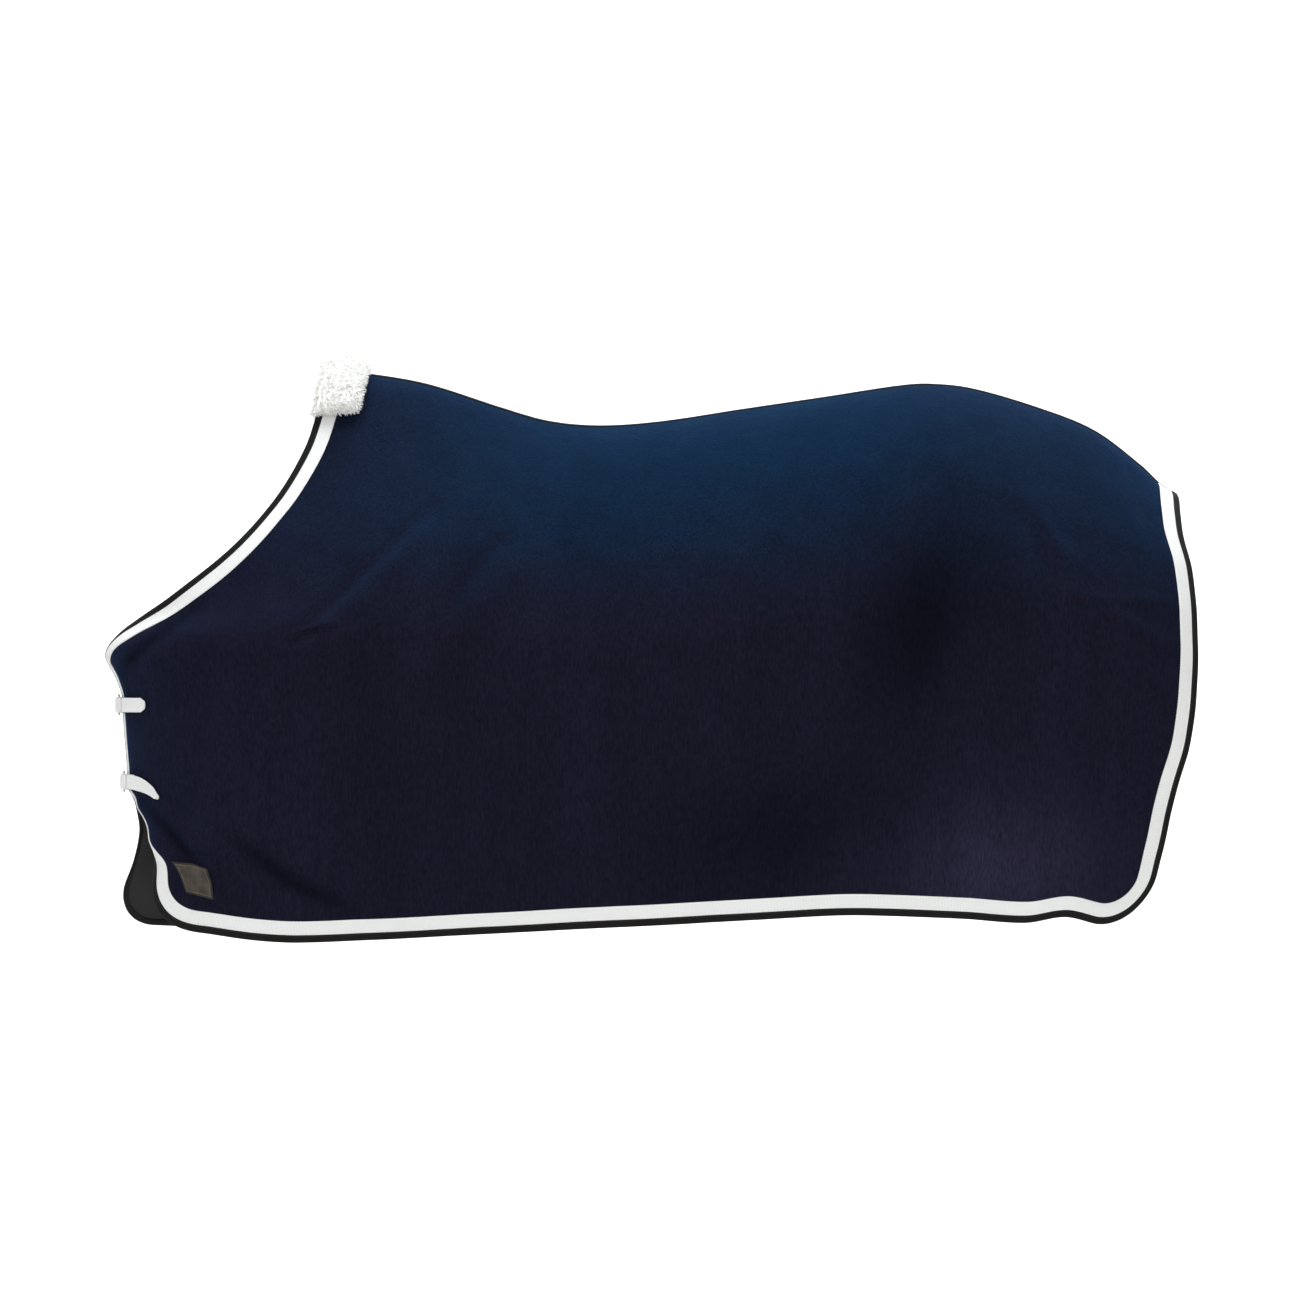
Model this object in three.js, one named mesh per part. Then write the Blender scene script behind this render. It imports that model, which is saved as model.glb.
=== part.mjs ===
// Show-style fleece rug on a standing horse form, in millimetres, +Z up.
// The horse faces -X, its near (left) side is -Y. The origin is the underside
// of the spine tape at the dip of the back.
import * as THREE from 'three';

// fabric and trim sizes
const FLEECE = 3.0; // body cloth thickness
const GAP = 0.45; // air left between sewn layers
const BIND_GAP = 0.95; // the binding is folded more loosely
const TAPE = 1.2; // webbing and binding thickness
const BIND_W = 10; // binding seen outside the webbing
const WEB_W = 25; // webbing width
const CORNER_R = 85; // lower corner radius
const SPINE_W = 10; // half width of the inner spine tape
const SPINE_T = 1.35;
const LABEL_LIFT = 2.8; // clears the coarse facets of the cloth under it
const LABEL_T = 1.3;
const SPINE_FLAT = 80; // the tape's underside is level this far each way from the origin
const SEAM = 0.2; // half gap between the two halves at the spine

// chest straps
const STRAP_W = 25;
const STRAP_T = 2.0;
const CHAPE_T = 1.6;
const FRONT_Y = 18; // each front edge stops this far from the centre line
const STRAPS = [
  { name: 'upper', z: -481, tail: 116, droop: 0 },
  { name: 'lower', z: -615, tail: 138, droop: 26 },
];
const BAR_R = 2.0; // buckle wire radius
const BUCKLE_L = 25; // heel bar to toe bar
const BUCKLE_W = 28; // window height
const ROLLER_R = 3.5;
const BORE_R = 2.3;
const HEEL_A = 9; // heel bar, measured along the strap from the near front edge
const PRONG_T = 3.0;
const FRAME_CORNER = 3;
const KEEPER_A = 40.5; // middle of the keeper along the strap
const KEEPER_L = 9;
const KEEPER_T = 1.3;

const lerp = (a, b, t) => a + (b - a) * t;
const clamp01 = (v) => Math.min(1, Math.max(0, v));
function ease(a, b, v) {
  const u = clamp01((v - a) / (b - a));
  return u * u * (3 - 2 * u);
}

// smooth curve through hand-set knots: each knot is [parameter, value, ...]
function curve(knots) {
  const n = knots.length;
  const dims = knots[0].length - 1;
  const slope = knots.map((k, i) => {
    const lo = knots[Math.max(0, i - 1)];
    const hi = knots[Math.min(n - 1, i + 1)];
    return k.slice(1).map((v, d) => (hi[d + 1] - lo[d + 1]) / (hi[0] - lo[0]));
  });
  return (t) => {
    const u = Math.min(knots[n - 1][0], Math.max(knots[0][0], t));
    let i = 0;
    while (i < n - 2 && u > knots[i + 1][0]) i += 1;
    const h = knots[i + 1][0] - knots[i][0];
    const f = (u - knots[i][0]) / h;
    const out = [];
    for (let d = 0; d < dims; d += 1) {
      const p = knots[i][d + 1];
      const q = knots[i + 1][d + 1];
      const m = slope[i][d] * h;
      const w = slope[i + 1][d] * h;
      const f2 = f * f;
      const f3 = f2 * f;
      out.push((2 * f3 - 3 * f2 + 1) * p + (f3 - 2 * f2 + f) * m + (3 * f2 - 2 * f3) * q + (f3 - f2) * w);
    }
    return out;
  };
}

// outlines: top line and hem as height over x
const topZ = curve([
  [-480, 102], [-400, 95], [-300, 77], [-175, 37], [-90, 13], [0, 5], [105, 12], [245, 33], [400, 56],
  [525, 75], [577, 78], [650, 70], [770, 35], [865, -4], [945, -64], [980, -97], [1008, -114],
]);
const hemZ = curve([
  [-780, -868], [-700, -873], [-600, -886], [-525, -890], [-400, -885], [-245, -877], [0, -864], [245, -851],
  [400, -842], [480, -842], [630, -848], [735, -855], [805, -845], [870, -859], [945, -857],
]);
// body half width, depth of the widest line below the back, and roof shape
const wide = curve([[-300, 288], [-100, 306], [100, 325], [300, 330], [500, 318], [700, 298]]);
const drop = curve([[-200, 378], [100, 395], [400, 392], [700, 350]]);
const roof = curve([[-200, 0.28], [200, 0.18], [700, 0.12]]);

// neckline and front edge, own side taken as -y
const NECK = [
  [0, -480, 0, 102], [0.025, -481, -30, 93], [0.053, -484, -58, 70], [0.095, -493, -82, 24],
  [0.15, -514, -105, -38], [0.23, -563, -132, -122], [0.32, -637, -150, -206], [0.426, -742, -132, -290],
  [0.494, -803, -92, -332], [0.546, -842, -48, -362], [0.583, -862, -15, -394],
];
const NEAR_FRONT = [
  [0.615, -845, -FRONT_Y, -430], [0.649, -832, -FRONT_Y, -466], [0.672, -831, -FRONT_Y, -496],
  [0.72, -826, -FRONT_Y, -560], [0.755, -823, -FRONT_Y, -600], [0.775, -821, -FRONT_Y, -628],
  [0.81, -796, -50, -655], [0.85, -774, -92, -692],
  [0.896, -771, -122, -740], [0.945, -777, -140, -800], [1, -781, -150, -868],
];
const OFF_FRONT = [
  [0.615, -845, -FRONT_Y, -430], [0.649, -832, -FRONT_Y, -466], [0.672, -831, -FRONT_Y, -496],
  [0.72, -826, -FRONT_Y, -560], [0.755, -823, -FRONT_Y, -600], [0.775, -821, -FRONT_Y, -628],
  [0.81, -808, 4, -655], [0.845, -801, 20, -698],
  [0.885, -812, 2, -748], [0.935, -832, -28, -800], [1, -846, -66, -866],
];
const FRONT = { near: curve([...NECK, ...NEAR_FRONT]), off: curve([...NECK, ...OFF_FRONT]) };
// rear edge from the tail head down
const rear = curve([
  [0, 1008, 0, -114], [0.062, 1010, -42, -124], [0.136, 1011, -82, -152], [0.216, 1015, -116, -190],
  [0.323, 1029, -150, -250], [0.45, 1036, -175, -330], [0.6, 1036, -190, -440], [0.688, 1025, -195, -540],
  [0.788, 997, -195, -640], [0.887, 975, -200, -740], [1, 945, -205, -857],
]);

// columns of the barrel, then blends out to the front and rear edges
const S_FRONT = 0.31;
const S_REAR = 0.79;
const T_WIDE = 0.54;
const X_COL = { front: [-110, -300], rear: [650, 600] };
// below the straps each front edge opens out, and the cloth beside it rolls forward over the edge
const TURN_IN = { near: [0.87, 0.97], off: [0.78, 0.95] };
const CURL = { near: [20, 0.775, 0.82, 0.865, 0.92], off: [13, 0.78, 0.83, 0.86, 0.94] };
const CURL_U = 0.3;
function barrel(f, t) {
  const xt = lerp(X_COL.front[0], X_COL.rear[0], f);
  const xb = lerp(X_COL.front[1], X_COL.rear[1], f);
  const x = lerp(xt, xb, t);
  const w = wide(x)[0];
  const d = drop(x)[0];
  const k = roof(x)[0];
  const zt = topZ(xt)[0];
  if (t < T_WIDE) {
    const u = t / T_WIDE;
    const a = (u * Math.PI) / 2;
    return [x, -w * lerp(Math.sin(a), u, k), zt - d * lerp(1 - Math.cos(a), u, k)];
  }
  const u = (t - T_WIDE) / (1 - T_WIDE);
  return [x, -w * (1 - 0.035 * u * u), lerp(zt - d, hemZ(xb)[0], u)];
}

function surface(side, s, t) {
  let p;
  if (s < S_FRONT) {
    const u = s / S_FRONT;
    const a = FRONT[side](t);
    const b = barrel(0, t);
    const wrap = lerp(0.12, 1, ease(0.4, 0.59, t)) - 0.45 * ease(...TURN_IN[side], t);
    const g = lerp(u, 1 - Math.cos((u * Math.PI) / 2), wrap);
    const h = Math.sin((u * Math.PI) / 2);
    p = [lerp(a[0], b[0], g), lerp(a[1], b[1], h), lerp(a[2], b[2], g)];
    if (u < CURL_U) {
      const [size, in0, in1, out0, out1] = CURL[side];
      const curl = size * ease(in0, in1, t) * (1 - ease(out0, out1, t));
      p[0] -= curl * 4 * (u / CURL_U) * (1 - u / CURL_U);
    }
  } else if (s < S_REAR) {
    p = barrel((s - S_FRONT) / (S_REAR - S_FRONT), t);
  } else {
    const u = (s - S_REAR) / (1 - S_REAR);
    const a = barrel(1, t);
    const b = rear(t);
    const g = lerp(u, Math.sin((u * Math.PI) / 2), 0.35);
    const h = 1 - Math.cos((u * Math.PI) / 2);
    p = [lerp(a[0], b[0], g), lerp(a[1], b[1], h), lerp(a[2], b[2], g)];
  }
  // hold the top row on the top line and the bottom row on the hem
  const end = surfaceEnds(side, s);
  p[2] += end[0] * (1 - ease(0, 0.5, t)) + end[1] * ease(0.6, 1, t);
  return new THREE.Vector3(...p);
}

function surfaceEnds(side, s) {
  if (s >= S_FRONT && s < S_REAR) return [0, 0];
  const u = s < S_FRONT ? s / S_FRONT : (s - S_REAR) / (1 - S_REAR);
  const mid = s < S_FRONT ? 0 : 1;
  const edge = s < S_FRONT ? FRONT[side] : rear;
  const out = [];
  for (const t of [0, 1]) {
    const wrap = s < S_FRONT ? lerp(0.12, 0.55, t) : 0.35;
    const bend = s < S_FRONT ? 1 - Math.cos((u * Math.PI) / 2) : Math.sin((u * Math.PI) / 2);
    const g = lerp(u, bend, wrap);
    const a = s < S_FRONT ? edge(t) : barrel(mid, t);
    const b = s < S_FRONT ? barrel(mid, t) : edge(t);
    const x = lerp(a[0], b[0], g);
    const z = lerp(a[2], b[2], g);
    out.push((t === 0 ? topZ(x)[0] : hemZ(x)[0]) - z);
  }
  return out;
}

const STEP = 1e-3;
function tangents(side, s, t) {
  const s0 = Math.max(0, s - STEP);
  const s1 = Math.min(1, s + STEP);
  const t0 = Math.max(0, t - STEP);
  const t1 = Math.min(1, t + STEP);
  const ds = surface(side, s1, t).sub(surface(side, s0, t)).divideScalar(s1 - s0);
  const dt = surface(side, s, t1).sub(surface(side, s, t0)).divideScalar(t1 - t0);
  return { ds, dt, n: new THREE.Vector3().crossVectors(dt, ds).normalize() };
}

// grid lines; the three outer lines follow the binding and the webbing
const S_MID = [
  0.055, 0.09, 0.125, 0.16, 0.2, 0.245, 0.29, 0.345, 0.4, 0.455, 0.51, 0.565, 0.62, 0.675, 0.73, 0.78,
  0.825, 0.865, 0.905, 0.94, 0.965,
];
const T_TOP = [
  0, 0.022, 0.046, 0.07, 0.097, 0.15, 0.21, 0.28, 0.35, 0.42, 0.49, 0.545, 0.583, 0.64, 0.69, 0.745, 0.79,
  0.845, 0.9,
];
const TIP_ROW = T_TOP.indexOf(0.583);
const EDGE = [0, BIND_W, BIND_W + WEB_W];
const NI = S_MID.length + 5;
const NJ = T_TOP.length + 2;

// round a lower corner: a and b are the distances in from the two edges
function roundCorner(a, b) {
  if (a >= CORNER_R || b >= CORNER_R) return [a, b];
  const m = Math.min(a, b);
  const run = a < b ? CORNER_R - b : CORNER_R - m + (a - m);
  const angle = Math.PI + (Math.PI / 2) * (run / (2 * (CORNER_R - m)));
  return [CORNER_R + (CORNER_R - m) * Math.cos(angle), CORNER_R + (CORNER_R - m) * Math.sin(angle)];
}

function makeGrid(side) {
  const rows = [];
  for (let i = 0; i <= NI; i += 1) {
    const column = [];
    for (let j = 0; j <= NJ; j += 1) {
      const front = i < 3 || i < NI / 2;
      const sNom = i < 3 ? 0 : i > NI - 3 ? 1 : S_MID[i - 3];
      const tNom = j < T_TOP.length ? T_TOP[j] : 1;
      const low = tangents(side, sNom, 1).dt.length();
      const edgeS = tangents(side, front ? 0 : 1, tNom).ds;
      const edgeT = tangents(side, front ? 0 : 1, tNom).dt.clone().normalize();
      const across = edgeS.clone().addScaledVector(edgeT, -edgeS.dot(edgeT)).length();
      let a = i < 3 ? EDGE[i] : i > NI - 3 ? EDGE[NI - i] : (front ? sNom : 1 - sNom) * across;
      let b = j > NJ - 3 ? EDGE[NJ - j] : (1 - tNom) * low;
      if (i >= 3 && i <= NI - 3) a = Math.max(a, EDGE[2] + 12);
      [a, b] = roundCorner(a, b);
      const s = a < CORNER_R || i < 3 || i > NI - 3 ? (front ? a / across : 1 - a / across) : sNom;
      const t = b < CORNER_R || j > NJ - 3 ? 1 - b / low : tNom;
      const p = surface(side, s, t);
      if (j === 0) p.y = -SEAM;
      column.push({ p, n: new THREE.Vector3() });
    }
    rows.push(column);
  }
  // each corner takes the mean normal of the cells round it
  for (let i = 0; i < NI; i += 1) {
    for (let j = 0; j < NJ; j += 1) {
      const cell = [rows[i][j], rows[i][j + 1], rows[i + 1][j + 1], rows[i + 1][j]];
      const face = cell[2].p.clone().sub(cell[0].p).cross(cell[3].p.clone().sub(cell[1].p)).normalize();
      for (const q of cell) q.n.add(face);
    }
  }
  for (const column of rows) {
    column[0].n.setY(0);
    for (const q of column) q.n.normalize();
  }
  return rows;
}
const GRID = { near: makeGrid('near'), off: makeGrid('off') };

// mesh with shared corners; empty triangles are left out
class Builder {
  constructor() {
    this.ids = new Map();
    this.pos = [];
    this.tri = [];
  }
  id(v) {
    const key = `${Math.round(v.x * 2000)},${Math.round(v.y * 2000)},${Math.round(v.z * 2000)}`;
    if (!this.ids.has(key)) {
      this.ids.set(key, this.pos.length / 3);
      this.pos.push(v.x, v.y, v.z);
    }
    return this.ids.get(key);
  }
  face(a, b, c) {
    const [i, j, k] = [this.id(a), this.id(b), this.id(c)];
    if (i !== j && j !== k && i !== k) this.tri.push(i, j, k);
  }
  quad(a, b, c, d, other = false) {
    if (other) {
      this.face(a, b, d);
      this.face(b, c, d);
    } else {
      this.face(a, b, c);
      this.face(a, c, d);
    }
  }
  geometry() {
    const v = (k) => new THREE.Vector3().fromArray(this.pos, 3 * this.tri[k]);
    let volume = 0;
    for (let k = 0; k < this.tri.length; k += 3) volume += v(k).dot(v(k + 1).cross(v(k + 2)));
    if (volume < 0) this.tri.reverse();
    const g = new THREE.BufferGeometry();
    g.setAttribute('position', new THREE.Float32BufferAttribute(this.pos, 3));
    g.setIndex(this.tri);
    g.computeVertexNormals();
    return g;
  }
}

const group = new THREE.Group();
group.name = 'fleece_rug';
const paint = (color) => new THREE.MeshStandardMaterial({ color, roughness: 0.9 });
const MAT = {
  fleece: paint(0x1c2334),
  webbing: paint(0xe4e4e2),
  binding: paint(0x302e2e),
  pad: paint(0xf7f5f1),
  leather: paint(0x48402f),
  metal: new THREE.MeshStandardMaterial({ color: 0xb9bcc0, metalness: 0.9, roughness: 0.35 }),
};
function add(name, geometry, material) {
  const mesh = new THREE.Mesh(geometry, material);
  mesh.name = name;
  group.add(mesh);
}
const mirrorY = (v) => new THREE.Vector3(v.x, -v.y, v.z);
const off = (q, h) => q.p.clone().addScaledVector(q.n, h);

// a layer over the chosen grid cells, from height lo to hi over the surface
function layer(at, ni, nj, wanted, lo, hi, flip, turn = (i) => i < ni / 2) {
  const build = new Builder();
  const place = (v) => (flip ? mirrorY(v) : v);
  const quad = (a, b, c, d, other) => {
    const q = [a, b, c, d].map(place);
    if (flip) build.quad(q[0], q[3], q[2], q[1], other);
    else build.quad(q[0], q[1], q[2], q[3], other);
  };
  const has = (i, j) => i >= 0 && j >= 0 && i < ni && j < nj && wanted(i, j);
  for (let i = 0; i < ni; i += 1) {
    for (let j = 0; j < nj; j += 1) {
      if (!has(i, j)) continue;
      const c = [at(i, j), at(i, j + 1), at(i + 1, j + 1), at(i + 1, j)];
      const top = c.map((q) => off(q, hi));
      const low = c.map((q) => off(q, lo));
      const other = turn(i);
      quad(top[0], top[1], top[2], top[3], other);
      quad(low[0], low[3], low[2], low[1], other);
      const next = [[i - 1, j], [i, j + 1], [i + 1, j], [i, j - 1]];
      next.forEach(([x, y], e) => {
        if (has(x, y)) return;
        const f = (e + 1) % 4;
        quad(top[f], top[e], low[e], low[f]);
      });
    }
  }
  return build;
}

const HALF = FLEECE / 2;
for (const side of ['near', 'off']) {
  const grid = GRID[side];
  const at = (i, j) => grid[i][j];
  const flip = side === 'off';
  add(`${side}_panel`, layer(at, NI, NJ, () => true, -HALF, HALF, flip).geometry(), MAT.fleece);
}

// webbing: the second ring of cells; the neck run is one piece over the withers
const ring = (i, j) => Math.min(i, NI - 1 - i, NJ - 1 - j);
const LO = HALF + GAP;
const HI = LO + TAPE;
function inset(grid, i, j) {
  if (j !== TIP_ROW) return grid[i][j];
  const q = grid[i][j];
  const dir = grid[i][j + 1].p.clone().sub(q.p).normalize();
  return { p: q.p.clone().addScaledVector(dir, 0.6), n: q.n };
}
for (const side of ['near', 'off']) {
  const grid = GRID[side];
  const wanted = (i, j) => ring(i, j) === 1 && !(i === 1 && j < TIP_ROW);
  const at = (i, j) => (i < 3 ? inset(grid, i, j) : grid[i][j]);
  const build = layer(at, NI, NJ, wanted, LO, HI, side === 'off');
  add(`${side}_edge_webbing`, build.geometry(), MAT.webbing);
}

// neck stations: near chest tip, up over the withers, down to the off chest tip
const NECK_N = 2 * TIP_ROW;
function neckAt(k, i) {
  const j = Math.abs(k - TIP_ROW);
  const q = GRID.near[i][j];
  if (j === 0) {
    return { p: q.p.clone().setY(0), n: q.n.clone().setY(0).normalize() };
  }
  return k < TIP_ROW ? q : { p: mirrorY(q.p), n: mirrorY(q.n) };
}
const offHalf = (k) => k >= TIP_ROW;
const neckCells = layer((k, c) => neckAt(k, c + 1), NECK_N, 1, () => true, LO, HI, false, offHalf);
add('neck_webbing', neckCells.geometry(), MAT.webbing);

// closed counterclockwise cross-section carried through stations; capped unless it closes on itself
function sweep(sections, contour, loop = false, outward = () => true) {
  const build = new Builder();
  const n = sections.length;
  const m = sections[0].length;
  for (let k = 0; k < (loop ? n : n - 1); k += 1) {
    const a = sections[k];
    const b = sections[(k + 1) % n];
    for (let e = 0; e < m; e += 1) {
      const f = (e + 1) % m;
      const fromInner = contour ? contour[e][0] > contour[f][0] : true;
      build.quad(a[e], a[f], b[f], b[e], fromInner !== outward(k));
    }
  }
  if (!loop) {
    const flat = contour.map(([x, y]) => new THREE.Vector2(x, y));
    for (const [a, b, c] of THREE.ShapeUtils.triangulateShape(flat, [])) {
      build.face(sections[0][c], sections[0][b], sections[0][a]);
      build.face(sections[n - 1][a], sections[n - 1][b], sections[n - 1][c]);
    }
  }
  return build;
}

// binding folded over the edge: a thin U around the cloth
const EDGE_GAP = 0.9;
const B_LO = HALF + BIND_GAP;
const B_HI = B_LO + TAPE;
const U_SHAPE = [
  [BIND_W, B_LO], [BIND_W, B_HI], [-EDGE_GAP - TAPE, B_HI], [-EDGE_GAP - TAPE, -B_HI],
  [BIND_W, -B_HI], [BIND_W, -B_LO], [-EDGE_GAP, -B_LO], [-EDGE_GAP, B_LO],
];
function bindingRun(stations) {
  const n = stations.length;
  return stations.map(([edge, line], k) => {
    const inner = { p: line.p.clone().lerp(edge.p, 0.05), n: line.n };
    const [before, after] = [stations[Math.max(0, k - 1)][0].p, stations[Math.min(n - 1, k + 1)][0].p];
    const along = after.clone().sub(before).normalize();
    const out = edge.p.clone().sub(inner.p);
    out.addScaledVector(along, -out.dot(along)).normalize();
    return U_SHAPE.map(([a, b]) => {
      const p = off(a > 0 ? inner : edge, b);
      if (a <= 0) p.addScaledVector(out, -a);
      return p;
    });
  });
}
{
  const list = [];
  for (let k = 0; k <= NECK_N; k += 1) list.push([neckAt(k, 0), neckAt(k, 1)]);
  add('neck_binding', sweep(bindingRun(list), U_SHAPE, false, offHalf).geometry(), MAT.binding);
}
for (const side of ['near', 'off']) {
  const grid = GRID[side];
  const list = [];
  for (let j = TIP_ROW; j < NJ; j += 1) {
    list.push([inset(grid, 0, j), inset(grid, 1, j)]);
  }
  list.push([grid[0][NJ], grid[1][NJ - 1]]);
  for (let i = 1; i < NI; i += 1) list.push([grid[i][NJ], grid[i][NJ - 1]]);
  list.push([grid[NI][NJ], grid[NI - 1][NJ - 1]]);
  for (let j = NJ - 1; j >= 0; j -= 1) list.push([grid[NI][j], grid[NI - 1][j]]);
  const run = bindingRun(list);
  for (const v of run[run.length - 1]) v.y = -SEAM;
  const placed = side === 'off' ? run.map((sec) => sec.map(mirrorY)) : run;
  const downs = NJ - TIP_ROW;
  const half = downs + Math.ceil(NI / 2);
  const outward = (k) => k < downs || (k >= half && k < downs + NI);
  add(`${side}_edge_binding`, sweep(placed, U_SHAPE, false, outward).geometry(), MAT.binding);
}

// tape under the spine seam; its underside is flat at the dip of the back
{
  const list = [];
  const shape = [[-1, 0], [0, 0.1], [1, 0], [1, 1], [0, 1.1], [-1, 1]];
  for (let i = 4; i <= NI - 3; i += 1) {
    const mid = { p: GRID.near[i][0].p.clone().setY(0), n: GRID.near[i][0].n.clone() };
    const row = GRID.near[i][1];
    const f = SPINE_W / -row.p.y;
    const q = { p: mid.p.clone().lerp(row.p, f), n: mid.n.clone().lerp(row.n, f).normalize() };
    const other = { p: mirrorY(q.p), n: mirrorY(q.n) };
    const points = [];
    for (const [c, height] of shape) {
      const top = height > 0.5;
      const at = c < 0 ? q : c > 0 ? other : mid;
      const v = off(at, -(HALF + GAP + 0.15) - (top ? 0 : SPINE_T));
      if (!top && Math.abs(mid.p.x) < SPINE_FLAT) v.z = 0;
      points.push(v);
    }
    list.push(points);
  }
  add('spine_tape', sweep(list, shape).geometry(), MAT.binding);
}

// thick pile pad folded over the neck edge at the withers
const PAD_ROWS = 4;
const PAD = [
  [3, 5], [3, 20], [2.55, 30], [2, 34], [1, 34], [0, 29], [-8, 20], [-12, 6], [-10, -8], [0, -14], [1, -15],
  [2, -13], [3, -8], [3, -4.6], [2, -4.6], [1, -4.6], [0, -4.6], [-3, -4.6], [-3, 4.6], [0, 4.6], [1, 4.6],
  [2, 4.6],
];
{
  const list = [];
  const flat = PAD.map(([u, b]) => [u < 0 ? u : u * 22, b]);
  for (let k = TIP_ROW - PAD_ROWS; k <= TIP_ROW + PAD_ROWS; k += 1) {
    const puff = 1 - 0.1 * Math.abs(k - TIP_ROW) / PAD_ROWS;
    const edge = neckAt(k, 0);
    const out = edge.p.clone().sub(neckAt(k, 1).p).normalize();
    list.push(PAD.map(([u, b]) => {
      const h = Math.abs(b) > 6 ? b * puff : b;
      if (u < 0) return off(edge, h).addScaledVector(out, -u);
      const i = Math.min(2, Math.floor(u));
      const lo = off(neckAt(k, i), h);
      return lo.lerp(off(neckAt(k, i + 1), h), u - i);
    }));
  }
  add('wither_pad', sweep(list, flat).geometry(), MAT.pad);
}

// label patch on the near lower front
{
  const corners = [[[50, 0.903], [91, 0.906]], [[66, 0.947], [103, 0.952]]];
  const at = (i, j) => {
    const [f, g] = [i / 3, j / 3];
    const left = [lerp(corners[0][0][0], corners[1][0][0], g), lerp(corners[0][0][1], corners[1][0][1], g)];
    const right = [lerp(corners[0][1][0], corners[1][1][0], g), lerp(corners[0][1][1], corners[1][1][1], g)];
    const t = lerp(left[1], right[1], f);
    const s = lerp(left[0], right[0], f) / tangents('near', 0, t).ds.length();
    return { p: surface('near', s, t), n: tangents('near', s, t).n };
  };
  const lo = HALF + LABEL_LIFT;
  add('label_patch', layer(at, 3, 3, () => true, lo, lo + LABEL_T, false).geometry(), MAT.leather);
}

// chest straps: a is the distance along the strap from the near front edge, b the height outward
const ARC_X = 590;
const ARC_Y = 272;
function chest(strap) {
  const xs = [-13, 0, 13].map((dz) => {
    let best = 0;
    for (let t = 0.6; t < 0.8; t += 0.002) {
      const f = FRONT.near(t);
      if (Math.abs(f[2] - strap.z - dz) < 3) best = Math.min(best, f[0]);
    }
    return best;
  });
  const nose = Math.min(...xs);
  function at(a) {
    if (a < -2 * FRONT_Y) {
      const m = at(-2 * FRONT_Y - a);
      return { p: mirrorY(m.p), n: mirrorY(m.n), e: mirrorY(m.e).negate() };
    }
    let angle = 0;
    let run = 0;
    while (run < a) {
      run += Math.hypot(ARC_X * Math.sin(angle), ARC_Y * Math.cos(angle)) * 0.002;
      angle += 0.002;
    }
    const [s, c] = [Math.sin(angle), Math.cos(angle)];
    const y = a < 0 ? -FRONT_Y - a : -FRONT_Y - ARC_Y * s;
    return {
      p: new THREE.Vector3(nose + ARC_X * (1 - c), y, strap.z),
      n: new THREE.Vector3(-ARC_Y * c, -ARC_X * s, 0).normalize(),
      e: new THREE.Vector3(ARC_X * s, -ARC_Y * c, 0).normalize(),
    };
  }
  return at;
}

const BASE = 6.2;
const PLY = BASE + CHAPE_T / 2; // lower ply of the chape
const HEEL_B = BASE + CHAPE_T + BORE_R;
const LOOP_R = BORE_R + CHAPE_T / 2;
const PLY2 = BASE + CHAPE_T * 1.5 + 0.3;
const RUN_B = PLY2 + CHAPE_T / 2 + 0.3 + STRAP_T / 2; // the billet over the chape
const TOE_A = HEEL_A - BUCKLE_L;
const UNDER_B = HEEL_B - ROLLER_R - 0.3 - STRAP_T / 2; // the billet behind the roller
const TOP_B = HEEL_B + LOOP_R + CHAPE_T / 2 + 0.3 + STRAP_T / 2;
const SLOT_H = 2.2;

// a strap along a path of [a, b] points; cut(k, c) leaves cells out for a slot
function strapLayer(at, path, thick, cut, droop, taper) {
  const width = [-STRAP_W / 2, -SLOT_H, SLOT_H, STRAP_W / 2];
  const station = (k) => {
    const lo = path[Math.max(0, k - 1)];
    const hi = path[Math.min(path.length - 1, k + 1)];
    const [da, db] = [hi[0] - lo[0], hi[1] - lo[1]];
    const len = Math.hypot(da, db);
    const q = at(path[k][0]);
    const p = off(q, path[k][1]);
    return { p, n: q.n.clone().multiplyScalar(da / len).addScaledVector(q.e, -db / len) };
  };
  const point = (k, c) => {
    const q = station(k);
    const f = taper ? taper(path[k][0]) : 1;
    q.p.z += width[c] * f + (droop ? droop(path[k][0]) : 0);
    return q;
  };
  return layer(point, path.length - 1, 3, (k, c) => !(c === 1 && cut(k)), -thick / 2, thick / 2, false);
}

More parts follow.
